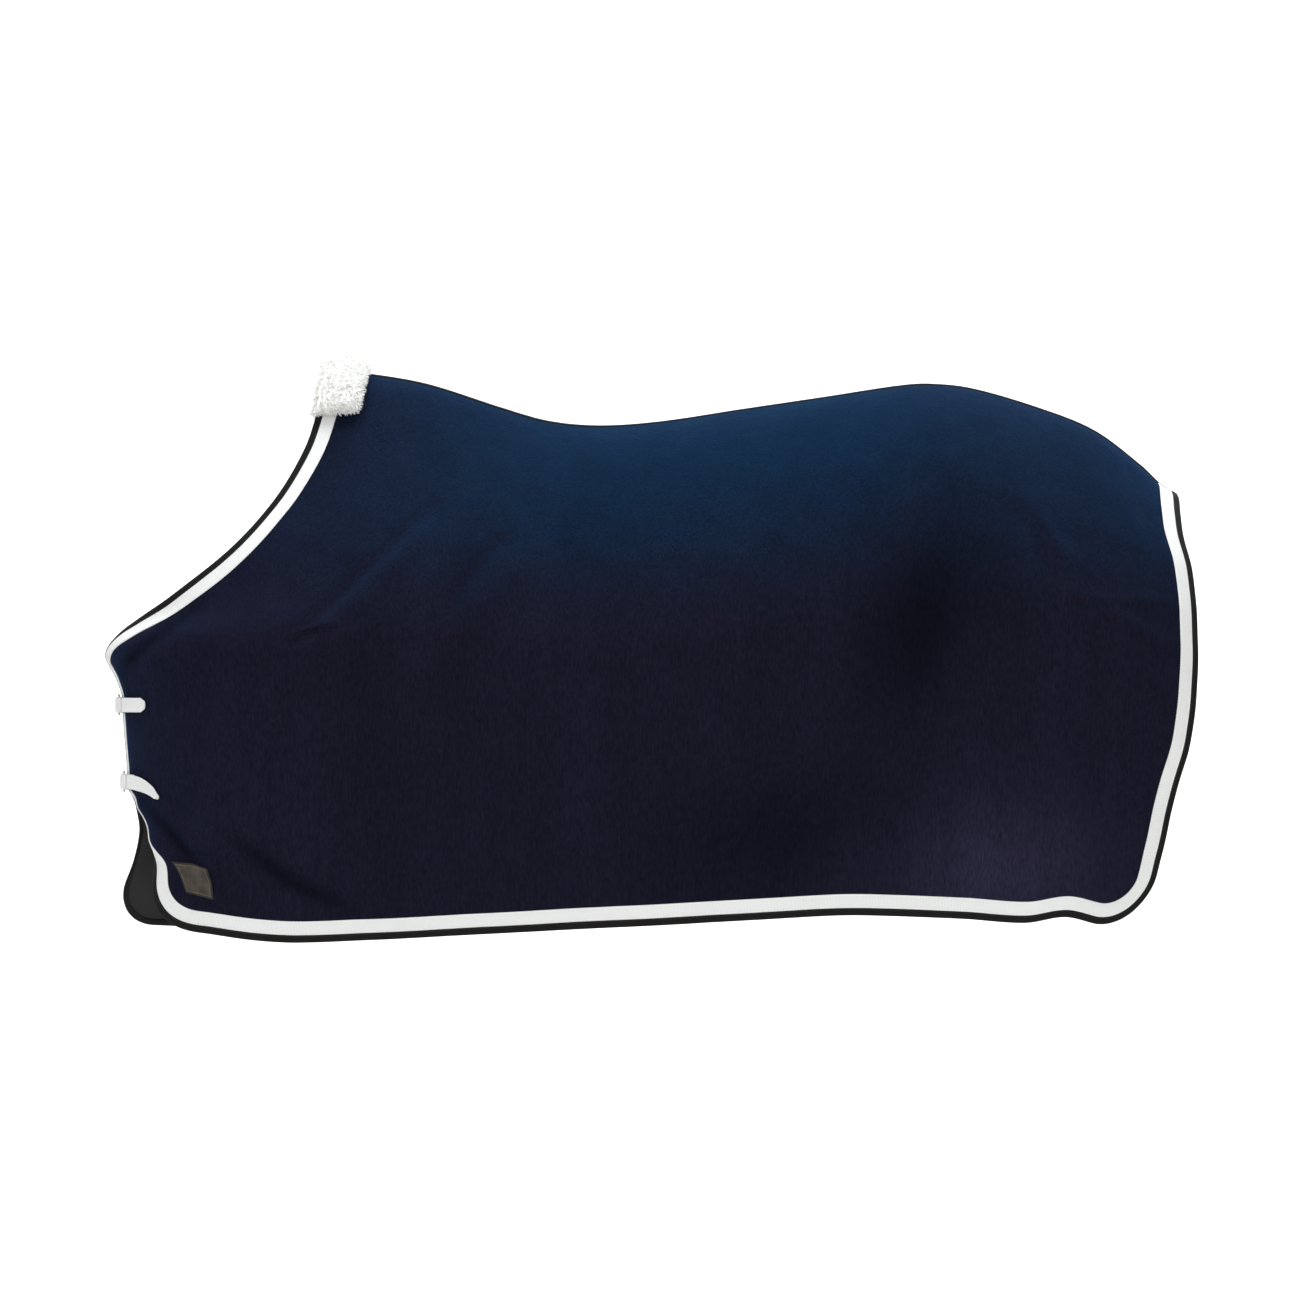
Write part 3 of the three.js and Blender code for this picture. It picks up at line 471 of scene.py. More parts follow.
def fleeceMaterial(name, shadedFlank, back):
    # flank and back are (dark, light) pairs, the shaded and the lit copy of the fleece; "tone" moves from one
    # to the other, which is painted light
    # the second attribute is painted light and shade: a painted highlight low at the rear, painted shade in
    # the flank hollow, along the chest creases and on the inner skin
    mat, nodes, links, shader = newMaterial(name, Roughness=0.95, Sheen_Weight=0.1, Sheen_Roughness=0.5,
                                            Sheen_Tint=(0.05, 0.28, 0.75, 1), Specular_IOR_Level=0.02)
    where = addNode(nodes, "ShaderNodeTexCoord")
    streak = addNode(nodes, "ShaderNodeMapping")
    streak.inputs["Scale"].default_value = (1.0, 1.0, 0.22)
    links.new(where.outputs["Object"], streak.inputs["Vector"])
    noise = addNode(nodes, "ShaderNodeTexNoise", Scale=330.0, Detail=6.0)
    links.new(streak.outputs["Vector"], noise.inputs["Vector"])
    mixes = []
    for dark, light in (shadedFlank, back):
        mix = addNode(nodes, "ShaderNodeValToRGB")
        mix.color_ramp.elements[0].position, mix.color_ramp.elements[1].position = 0.32, 0.68
        mix.color_ramp.elements[0].color, mix.color_ramp.elements[1].color = (*dark, 1), (*light, 1)
        links.new(noise.outputs["Fac"], mix.inputs["Fac"])
        mixes.append(mix)
    # painted top light: the attribute blends from the shaded flank copy to the lit back copy
    tone = addNode(nodes, "ShaderNodeAttribute", attribute_name="tone")
    paintedShading = addNode(nodes, "ShaderNodeAttribute", attribute_name="paintedShading")
    both = addNode(nodes, "ShaderNodeMix", data_type="RGBA")
    links.new(tone.outputs["Fac"], both.inputs["Factor"])
    links.new(mixes[0].outputs["Color"], both.inputs[6])
    links.new(mixes[1].outputs["Color"], both.inputs[7])
    brushed = addNode(nodes, "ShaderNodeTexNoise", Scale=9.0, Detail=5.0, Roughness=0.65)
    links.new(streak.outputs["Vector"], brushed.inputs["Vector"])
    patch = addNode(nodes, "ShaderNodeMath", operation="MULTIPLY_ADD")
    patch.inputs[1].default_value, patch.inputs[2].default_value = 0.7, 0.65
    links.new(brushed.outputs["Fac"], patch.inputs[0])
    # random brushed patches times the painted light and shade attribute
    lift = addNode(nodes, "ShaderNodeMath", operation="MULTIPLY")
    links.new(patch.outputs[0], lift.inputs[0])
    links.new(paintedShading.outputs["Fac"], lift.inputs[1])
    scaled = addNode(nodes, "ShaderNodeVectorMath", operation="SCALE")
    links.new(both.outputs[2], scaled.inputs[0])
    links.new(lift.outputs[0], scaled.inputs["Scale"])
    links.new(scaled.outputs[0], shader.inputs["Base Color"])
    fibre = addNode(nodes, "ShaderNodeTexNoise", Scale=620.0, Detail=3.0)
    pill = addNode(nodes, "ShaderNodeTexVoronoi", Scale=230.0)
    soft = addNode(nodes, "ShaderNodeTexNoise", Scale=26.0, Detail=4.0)
    for node in (fibre, soft):
        links.new(streak.outputs["Vector"], node.inputs["Vector"])
    links.new(where.outputs["Object"], pill.inputs["Vector"])
    one = addBump(nodes, links, shader, soft.outputs["Fac"], 0.6, 0.006)
    two = addBump(nodes, links, shader, pill.outputs["Distance"], 0.45, 0.0014, one)
    addBump(nodes, links, shader, fibre.outputs["Fac"], 0.6, 0.001, two)
    return mat


def wovenMaterial(name, dark, light, ribs, picks, depth=0.0005, roughness=0.75):
    # woven tape: uv is millimetres across and along; ribs and picks are the yarn spacings
    mat, nodes, links, shader = newMaterial(name, Roughness=roughness, Sheen_Weight=0.02,
        Specular_IOR_Level=0.12)
    uv = addNode(nodes, "ShaderNodeUVMap", uv_map="uv")
    split = addNode(nodes, "ShaderNodeSeparateXYZ")
    links.new(uv.outputs["UV"], split.inputs[0])

    def wave(axis, spacing, shift=None):
        turn = addNode(nodes, "ShaderNodeMath", operation="MULTIPLY")
        turn.inputs[1].default_value = 2 * math.pi / spacing
        links.new(split.outputs[axis], turn.inputs[0])
        value = turn.outputs[0]
        if shift is not None:
            add = addNode(nodes, "ShaderNodeMath", operation="ADD")
            links.new(value, add.inputs[0])
            links.new(shift, add.inputs[1])
            value = add.outputs[0]
        sine = addNode(nodes, "ShaderNodeMath", operation="SINE")
        links.new(value, sine.inputs[0])
        return turn.outputs[0], sine.outputs[0]

    across, ribSine = wave("X", ribs)
    along, pickSine = wave("Y", picks, across)
    product = addNode(nodes, "ShaderNodeMath", operation="MULTIPLY")
    links.new(ribSine, product.inputs[0])
    links.new(pickSine, product.inputs[1])
    total = addNode(nodes, "ShaderNodeMath", operation="ADD")
    links.new(product.outputs[0], total.inputs[0])
    links.new(pickSine, total.inputs[1])
    mix = addNode(nodes, "ShaderNodeValToRGB")
    mix.color_ramp.elements[0].position, mix.color_ramp.elements[1].position = 0.1, 0.75
    mix.color_ramp.elements[0].color, mix.color_ramp.elements[1].color = (*dark, 1), (*light, 1)
    half = addNode(nodes, "ShaderNodeMath", operation="MULTIPLY_ADD")
    half.inputs[1].default_value, half.inputs[2].default_value = 0.25, 0.5
    links.new(total.outputs[0], half.inputs[0])
    links.new(half.outputs[0], mix.inputs["Fac"])
    links.new(mix.outputs["Color"], shader.inputs["Base Color"])
    addBump(nodes, links, shader, half.outputs[0], 0.8, depth)
    return mat


def plainCloth(name, dark, light, scale, depth, **sockets):
    mat, nodes, links, shader = newMaterial(name, Roughness=0.9, **sockets)
    where, noise, ramp = colourNoise(mat, nodes, links, shader, dark, light, scale)
    addBump(nodes, links, shader, noise.outputs["Fac"], 0.6, depth)
    return mat


def leatherMaterial(name):
    # the patch's own "tone" is 1 in the middle and 0 on the turned rim
    mat, nodes, links, shader = newMaterial(name, Roughness=0.62, Specular_IOR_Level=0.3)
    where, noise, ramp = colourNoise(mat, nodes, links, shader, (0.022, 0.017, 0.012), (0.046, 0.036, 0.026),
        70, 6)
    tone = addNode(nodes, "ShaderNodeAttribute", attribute_name="tone")
    mix = addNode(nodes, "ShaderNodeMix", data_type="RGBA")
    mix.inputs[6].default_value = (0.008, 0.0065, 0.0055, 1)
    links.new(tone.outputs["Fac"], mix.inputs["Factor"])
    links.new(ramp.outputs["Color"], mix.inputs[7])
    links.new(mix.outputs[2], shader.inputs["Base Color"])
    grain = addNode(nodes, "ShaderNodeTexVoronoi", Scale=900.0)
    links.new(where.outputs["Object"], grain.inputs["Vector"])
    addBump(nodes, links, shader, grain.outputs["Distance"], 0.5, 0.0004)
    return mat


def steelMaterial(name):
    mat, nodes, links, shader = newMaterial(name, Metallic=1.0, Roughness=0.28)
    where, noise, ramp = colourNoise(mat, nodes, links, shader, (0.55, 0.55, 0.56), (0.72, 0.72, 0.72), 300,
        2)
    addBump(nodes, links, shader, noise.outputs["Fac"], 0.15, 0.0002)
    return mat


mats = {
    # shaded flank pair, then the lit, bluer back pair: painted light
    "fleece": fleeceMaterial(
        "navy_fleece", ((0.0047, 0.0041, 0.0088), (0.0086, 0.0076, 0.0157)), ((0.0014, 0.0058, 0.0150),
            (0.0028, 0.0112, 0.0284)),
    ),
    # near-black brown for the inner skin: painted shade on the inside of the single-layer fleece
    "insideShade": plainCloth("inside_painted_shade", (0.0035, 0.0028, 0.0028), (0.0075, 0.0062, 0.006), 330, 0.001),
    "webbing": wovenMaterial("white_webbing", (0.42, 0.42, 0.41), (0.76, 0.76, 0.745), 2.4, 2.6),
    "strap": wovenMaterial("strap_webbing", (0.5, 0.5, 0.49), (0.76, 0.76, 0.745), 1.8, 1.5),
    "binding": wovenMaterial("charcoal_binding", (0.0025, 0.0021, 0.002), (0.0085, 0.0074, 0.0068), 1.2, 1.4,
        0.0003, 0.85),
    "pile": plainCloth("white_pile", (0.68, 0.67, 0.645), (0.9, 0.89, 0.87), 160, 0.002, Sheen_Weight=0.12),
    "leather": leatherMaterial("brown_leather"),
    "steel": steelMaterial("satin_steel"),
    "whiteThread": plainCloth("white_thread", (0.7, 0.7, 0.68), (0.9, 0.9, 0.88), 2500, 0.0001),
    "labelThread": plainCloth("label_thread", (0.16, 0.12, 0.07), (0.26, 0.2, 0.13), 2500, 0.0001),
    "darkThread": plainCloth("dark_thread", (0.006, 0.007, 0.012), (0.02, 0.022, 0.03), 2500, 0.0001),
}


def finishPiece(obj, mat, body="rug", replaces=()):
    obj.data.materials.clear()
    obj.data.materials.append(mats[mat] if isinstance(mat, str) else mat)
    if body:
        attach(obj, body)
    if replaces:
        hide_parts(*replaces)
    return obj


# fleece halves
half = sizes["fleece"] / 2
for side in ("near", "off"):
    count = ((190, 120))
    sAll, tAll = panelGrid(side, *count)
    outer, n = cloth(side, sAll, tAll, half)
    inner = outer - n * sizes["fleece"]
    outer[:, 0, 1] = np.minimum(outer[:, 0, 1], -0.05)
    inner[:, 0, 1] = -0.05
    panel = shell(f"{side}_fleece", toWorld(side, outer), toWorld(side, inner))
    x, z = outer[..., 0], outer[..., 2]
    # painted top light: upward faces above the lower flank take the lit back colours, less so at the front
    # and the rear
    up = ease(0.0, 0.85, n[..., 2] + 0.1) * lerp(0.5, 1, ease(-600, 60, x))
    up = up * lerp(1, 0.72, ease(430, 760, x)) * ease(-400, -180, z)
    # painted light and shade: a painted highlight low at the rear, painted shade down the flank hollow and
    # along the chest creases
    paintedShading = 1 + 1.2 * np.exp(-(((x - 690) / 190) ** 2) - ((z + 770) / 130) ** 2)
    paintedShading -= 0.55 * np.exp(-(((x - 560 - (z + 330) * 0.25) / 85) ** 2) - ((z + 330) / 170) ** 2)
    paintedShading -= 0.4 * np.exp(-(((x - 330 - (z + 730) * 0.8) / 210) ** 2) - ((z + 700) / 110) ** 2)
    paintedShading -= 0.55 * creaseShade(x, z)
    # the inner skin gets the shaded colours and less light: painted shade inside the rug
    for key, value, inside in (("tone", up, 0 * up), ("paintedShading", paintedShading, 0 * paintedShading + 0.45)):
        data = panel.data.attributes.new(key, "FLOAT", "POINT")
        data.data.foreach_set("value", np.concatenate([value.ravel(), inside.ravel()]).astype(np.float32))
    finishPiece(panel, "fleece", replaces=[f"{side}_panel"])
    # the inner skin takes the near-black material: painted shade, the fleece has no lining
    panel.data.materials.append(mats["insideShade"])
    faces = np.empty(len(panel.data.polygons) * 4, int)
    panel.data.polygons.foreach_get("vertices", faces)
    shadedInside = (faces.reshape(-1, 4) >= x.size).all(1)
    panel.data.polygons.foreach_set("material_index", shadedInside.astype(int))


# edge runs: stations from the withers down the front, round to the tail
def borderStations(side, step):
    r = sizes["corner"]
    low0, low1 = rates[side]["low"](0.03), rates[side]["low"](0.97)
    tEnd, tRear = 1 - r / low0, 1 - r / low1

    def spread(point, lo, hi):
        u = np.linspace(lo, hi, 800)
        p = point(u)
        length = np.concatenate([[0], np.cumsum(np.linalg.norm(np.diff(p, axis=0), axis=-1))])
        return np.interp(np.linspace(0, length[-1], max(2, int(length[-1] / step))), length, u)

    down = spread(lambda u: form(side, np.zeros_like(u), u), 0, tEnd)
    s0, s1 = r / rates[side]["front"](0.97), 1 - r / rates[side]["rear"](0.97)
    hem = spread(lambda u: form(side, u, np.ones_like(u)), s0, s1)
    up = spread(lambda u: form(side, np.ones_like(u), u), 0, tRear)[::-1]
    turn = (np.arange(1, int(math.pi / 2 * r / step)) + 0.0) / int(math.pi / 2 * r / step)
    return {"down": down, "turn": turn, "hem": hem, "up": up}


def walkIn(side, s, t, d):
    # steps d millimetres over the surface from the front edge, square to that edge
    def slopes(s, t):
        e = 1e-3
        s0, s1 = np.clip(s - e, 0, 1), np.clip(s + e, 0, 1)
        t0, t1 = np.clip(t - e, 0, 1), np.clip(t + e, 0, 1)
        ds = (form(side, s1, t) - form(side, s0, t)) / (s1 - s0)[:, None]
        dt = (form(side, s, t1) - form(side, s, t0)) / (t1 - t0)[:, None]
        return ds, dt

    steps, way = 5, None
    for _ in range(steps):
        ds, dt = slopes(s, t)
        n = np.cross(dt, ds)
        n /= np.linalg.norm(n, axis=-1, keepdims=True)
        if way is None:
            way = ds - dt * ((ds * dt).sum(-1) / (dt * dt).sum(-1))[:, None]
        way = way - n * (way * n).sum(-1, keepdims=True)
        way /= np.linalg.norm(way, axis=-1, keepdims=True)
        a, b, c = (ds * ds).sum(-1), (ds * dt).sum(-1), (dt * dt).sum(-1)
        x, y = (way * ds).sum(-1), (way * dt).sum(-1)
        det = a * c - b * b
        s = s + (c * x - b * y) / det * d / steps
        t = t + (a * y - b * x) / det * d / steps
    return s, t


def borderAt(side, stations, d):
    # s and t along the whole border, d millimetres in from the edge (d may vary by station)
    r = sizes["corner"]
    sizesOf = [len(stations[k]) for k in ("down", "turn", "hem", "turn", "up")]
    d = np.broadcast_to(np.asarray(d, float), (sum(sizesOf),))
    parts = np.split(d, np.cumsum(sizesOf)[:-1])
    t = stations["down"]
    plain = parts[0] / rates[side]["front"](t)
    walked = walkIn(side, np.zeros_like(t), t, parts[0])
    keep = 1 - ease(t[-1] - 0.1, t[-1] - 0.02, t)
    keep *= ease(0.0, 0.02, t)
    out = [(lerp(plain, walked[0], keep), lerp(t, walked[1], keep))]
    angle = math.pi * (1 + stations["turn"] / 2)
    out.append(fromEdges(side, "front", r + (r - parts[1]) * np.cos(angle),
        r + (r - parts[1]) * np.sin(angle)))
    s = stations["hem"]
    out.append((s, 1 - parts[2] / rates[side]["low"](s)))
    angle = math.pi * (1 + stations["turn"][::-1] / 2)
    out.append(fromEdges(side, "rear", r + (r - parts[3]) * np.cos(angle),
        r + (r - parts[3]) * np.sin(angle)))
    t = stations["up"]
    out.append((1 - parts[4] / rates[side]["rear"](t), t))
    return np.concatenate([a for a, _ in out]), np.concatenate([b for _, b in out])


def borderCurve(side, stations, d, height):
    s, t = borderAt(side, stations, np.maximum(d, 0))
    p, n = cloth(side, s, t)
    return p + n * np.broadcast_to(height, s.shape)[..., None], n


def alongBorder(p):
    return np.concatenate([[0], np.cumsum(np.linalg.norm(np.diff(p, axis=0), axis=-1))])


def edgeOut(side, stations):
    # direction out of the cloth at the edge, square to the edge
    p0, n = borderCurve(side, stations, 0, 0)
    p1, _ = borderCurve(side, stations, 4, 0)
    run = np.gradient(p0, axis=0)
    run /= np.linalg.norm(run, axis=-1, keepdims=True)
    out = np.cross(run, n)
    out *= np.sign((out * (p0 - p1)).sum(-1, keepdims=True))
    return p0, n, out / np.linalg.norm(out, axis=-1, keepdims=True)


binding = {
    "step": 4.0,
    "legs": [(10.4, 0.3), (10.0, 1.5), (7.5, 1.95), (4.5, 2.05), (1.5, 1.9)],
    "fold": [(1.1, 1.55), (1.9, 0.8), (2.15, 0.0), (1.9, -0.8), (1.1, -1.55)],
}
webbing = {"step": 1.3, "from": 10.6, "to": 35.3, "tooth": 5.2, "teeth": 0.75, "height": 1.15, "neck": 2.2}
for side in ("near", "off"):
    stations = borderStations(side, binding["step"])
    p0, n0, out = edgeOut(side, stations)
    length = alongBorder(p0)
    loops, across = [], []
    for d, h in binding["legs"]:
        loops.append(borderCurve(side, stations, d, half + h)[0])
        across.append(-d)
    for d, h in binding["fold"]:
        loops.append(p0 + out * d + n0 * (h * (half + 1.0) / 1.55))
        across.append(d + (2.2 - h) * 1.2)
    for d, h in binding["legs"][::-1]:
        loops.append(borderCurve(side, stations, d, -half - h)[0])
        across.append(d + 6)
    sections = np.stack(loops, 1)
    uv = np.stack(np.broadcast_arrays(np.array(across)[None, :], length[:, None]), -1)
    piece = tube(f"{side}_binding", toWorld(side, sections), uv)
    nodes = [f"{side}_edge_binding"] + (["neck_binding"] if side == "near" else [])
    finishPiece(piece, "binding", replaces=nodes)

    stations = borderStations(side, webbing["step"])
    mid, n = borderCurve(side, stations, (webbing["from"] + webbing["to"]) / 2, 0)
    length = alongBorder(mid)
    tooth = webbing["teeth"] * (0.5 + 0.5 * np.sin(2 * math.pi * length / webbing["tooth"]))
    neck = np.zeros(len(length))
    down = stations["down"]
    neck[: len(down)] = webbing["neck"] * (1 - ease(0.42, 0.56, down))
    lo, hi = webbing["from"] + tooth - neck, webbing["to"] - tooth - neck
    h = webbing["height"]
    profile = [(0.0, 0.0), (0.0, 0.7), (0.06, 0.98), (0.3, 1.06), (0.5, 1.1), (0.7, 1.06), (0.94, 0.98),
        (1.0, 0.7), (1.0, 0.0)]
    loops = [borderCurve(side, stations, lerp(lo, hi, f), half + 0.1 + h * g)[0] for f, g in profile]
    sections = np.stack(loops, 1)
    uv = np.stack(np.broadcast_arrays(np.array([f * 25 for f, _ in profile])[None, :], length[:, None]), -1)
    piece = tube(f"{side}_webbing", toWorld(side, sections), uv)
    nodes = [f"{side}_edge_webbing"] + (["neck_webbing"] if side == "near" else [])
    finishPiece(piece, "webbing", replaces=nodes)
    print(side, "trims", len(piece.data.polygons))


# spine seam: covering tape over the ridge and the tape beneath
def spineStrip(name, halfWidth, lift, thick, mat, replaces=()):
    s = np.linspace(0.0, 0.985, 500)
    dense = (np.linspace(-1, 1, 9) * halfWidth)
    tops, lows = [], []
    for w in dense:
        side = "near"
        rate = np.linalg.norm(form(side, s, np.full_like(s, 0.01)) - form(side, s, np.zeros_like(s)),
            axis=-1) / 0.01
        p, n = cloth(side, s, abs(w) / rate)
        if w > 0:
            p, n = p * [1, -1, 1], n * [1, -1, 1]
        n = n * [1, min(1, abs(w) / halfWidth * 1.2), 1]
        n /= np.linalg.norm(n, axis=-1, keepdims=True)
        edge = 1 - 0.5 * (abs(w) / halfWidth) ** 4
        tops.append(p + n * (lift + thick * edge))
        lows.append(p + n * lift)
    outer, inner = np.stack(tops, 1), np.stack(lows, 1)
    uv = np.stack(np.broadcast_arrays(dense[None, :], s[:, None] * 1500), -1)
    piece = shell(name, outer * milli, inner * milli, uv)
    return finishPiece(piece, mat, replaces=replaces)


spineStrip("spine_cover", 5.5, half - 0.3, 2.2, "binding")
spineStrip("spine_tape_soft", 19, -half - 1.7, 1.3, "binding", replaces=["spine_tape"])


# stitches: one node group scatters small beads along an edge line
def stitchGroup():
    group = bpy.data.node_groups.new("stitches", "GeometryNodeTree")
    face = group.interface
    face.new_socket("Geometry", in_out="INPUT", socket_type="NodeSocketGeometry")
    for name, value in (("Spacing", 0.0035), ("Length", 0.0024), ("Thickness", 0.0007)):
        face.new_socket(name, in_out="INPUT", socket_type="NodeSocketFloat").default_value = value
    face.new_socket("Material", in_out="INPUT", socket_type="NodeSocketMaterial")
    face.new_socket("Geometry", in_out="OUTPUT", socket_type="NodeSocketGeometry")
    n, link = group.nodes, group.links
    start, end = n.new("NodeGroupInput"), n.new("NodeGroupOutput")
    line = n.new("GeometryNodeMeshToCurve")
    points = n.new("GeometryNodeCurveToPoints")
    points.mode = "LENGTH"
    bead = n.new("GeometryNodeMeshUVSphere")
    bead.inputs["Segments"].default_value, bead.inputs["Rings"].default_value = 6, 4
    bead.inputs["Radius"].default_value = 0.5
    size = n.new("ShaderNodeCombineXYZ")
    scatter = n.new("GeometryNodeInstanceOnPoints")
    real = n.new("GeometryNodeRealizeInstances")
    paint = n.new("GeometryNodeSetMaterial")
    link.new(start.outputs["Geometry"], line.inputs["Mesh"])
    link.new(line.outputs["Curve"], points.inputs["Curve"])
    link.new(start.outputs["Spacing"], points.inputs["Length"])
    link.new(points.outputs["Points"], scatter.inputs["Points"])
    link.new(points.outputs["Rotation"], scatter.inputs["Rotation"])
    link.new(bead.outputs["Mesh"], scatter.inputs["Instance"])
    link.new(start.outputs["Thickness"], size.inputs["X"])
    link.new(start.outputs["Thickness"], size.inputs["Y"])
    link.new(start.outputs["Length"], size.inputs["Z"])
    link.new(size.outputs["Vector"], scatter.inputs["Scale"])
    link.new(scatter.outputs["Instances"], real.inputs["Geometry"])
    link.new(real.outputs["Geometry"], paint.inputs["Geometry"])
    link.new(start.outputs["Material"], paint.inputs["Material"])
    link.new(paint.outputs["Geometry"], end.inputs["Geometry"])
    return group


stitcher = stitchGroup()


def stitchLines(name, lines, thread, spacing=0.0036, length=0.0026, thick=0.0008, body="rug"):
    # realised stitches along each line of points in metres
    points = np.concatenate(lines)
    edges, start = [], 0
    for line in lines:
        edges += [(start + k, start + k + 1) for k in range(len(line) - 1)]
        start += len(line)
    mesh = bpy.data.meshes.new(name)
    mesh.from_pydata(points.tolist(), edges, [])
    obj = bpy.data.objects.new(name, mesh)
    bpy.context.scene.collection.objects.link(obj)
    mod = obj.modifiers.new("stitches", "NODES")
    mod.node_group = stitcher
    ids = {item.name: item.identifier for item in stitcher.interface.items_tree if item.in_out == "INPUT"}
    mod[ids["Spacing"]], mod[ids["Length"]], mod[ids["Thickness"]] = spacing, length, thick
    mod[ids["Material"]] = mats[thread]
    obj.data = bpy.data.meshes.new_from_object(obj.evaluated_get(bpy.context.evaluated_depsgraph_get()))
    obj.modifiers.clear()
    obj.data.name = name
    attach(obj, body)
    print(name, len(obj.data.polygons))
    return obj


for side in ("near", "off"):
    stations = borderStations(side, 6)
    rows = [toWorld(side, borderCurve(side, stations, d, half + 1.45)[0]) for d in (13.2, 32.6)]
    stitchLines(f"{side}_webbing_stitches", rows, "whiteThread", spacing=0.0042, length=0.003)
    rows = [toWorld(side, borderCurve(side, stations, 8.4, half + 1.95)[0])]
    stitchLines(f"{side}_binding_stitches", rows, "darkThread")


def bandMesh(name, centre, normal, halfThick, keep=None, uv=None):
    # closed band: skins either side of a grid of points, walls wherever a cell's neighbour is missing
    ni, nj = centre.shape[:2]
    if keep is None:
        keep = np.ones((ni - 1, nj - 1), bool)
    offset = normal * halfThick[..., None]
    points = np.concatenate([(centre + offset).reshape(-1, 3), (centre - offset).reshape(-1, 3)])
    faces, n = [], ni * nj
    for i in range(ni - 1):
        for j in range(nj - 1):
            if not keep[i, j]:
                continue
            a, b, c, d = i * nj + j, i * nj + j + 1, (i + 1) * nj + j + 1, (i + 1) * nj + j
            faces += [[a, b, c, d], [a + n, d + n, c + n, b + n]]
            around = (((i - 1, j), a, b), ((i, j + 1), b, c), ((i + 1, j), c, d), ((i, j - 1), d, a))
            for (x, y), p, q in around:
                if not (0 <= x < ni - 1 and 0 <= y < nj - 1 and keep[x, y]):
                    faces.append([p, p + n, q + n, q])
    used = sorted({k for face in faces for k in face})
    index = {k: m for m, k in enumerate(used)}
    uvs = None if uv is None else np.concatenate([uv.reshape(-1, 2)] * 2)[used]
    obj = makeMesh(name, points[used], [[index[k] for k in face] for face in faces], uvs)
    fixNormals(obj)
    return obj


# wither pad: thick pile folded over the neck edge; blown up a little as cloth, then given its curl
pad = {
    "rows": 0.097, "voxel": 4.5, "swell": 5.0, "curl": 8.5, "curlHeight": 3.2, "fill": 0.8,
    "section": [
        (69, 5.5), (70, 14), (67, 24), (56, 31), (40, 33), (20, 32.5), (4, 28), (-6, 20), (-10, 7), (-8, -6),
        (-1, -12.5), (18, -13), (40, -12), (60, -9.5), (67, -6), (67, -4.6), (40, -4.6), (12, -4.6),
        (0.5, -4.6),
        (-2.6, -2.5), (-2.6, 2.5), (0.5, 5.2), (12, 5.2), (40, 5.2),
    ],
}


def neckFrame(t):
    # edge point, outward normal and direction away from the rug along the neckline; t below 0 is the off half
    a = np.abs(t)
    p, n = form("near", np.zeros_like(a), a), cloth("near", np.zeros_like(a), a)[1]
    q = form("near", np.full_like(a, 12 / rates["near"]["front"](0.05)), a)
    out = (p - q) / np.linalg.norm(p - q, axis=-1, keepdims=True)
    flip = np.where(t[:, None] < 0, [[1, -1, 1]], [[1, 1, 1]])
    return p * flip, n * flip, out * flip


def cellNoise(p, size, seed):
    # distance to the nearest of a jittered lattice of points, from 0 to about 1
    cell = np.floor(p / size).astype(int)
    best = np.full(len(p), 9.0)
    for dx in (-1, 0, 1):
        for dy in (-1, 0, 1):
            for dz in (-1, 0, 1):
                c = cell + [dx, dy, dz]
                h = (c * [73856093, 19349663, 83492791]).sum(-1) + seed * 7919
                jitter = np.stack([((h * k) % 1009) / 1009.0 for k in (127, 311, 733)], -1)
                best = np.minimum(best, np.linalg.norm(p / size - c - jitter, axis=-1))
    return best


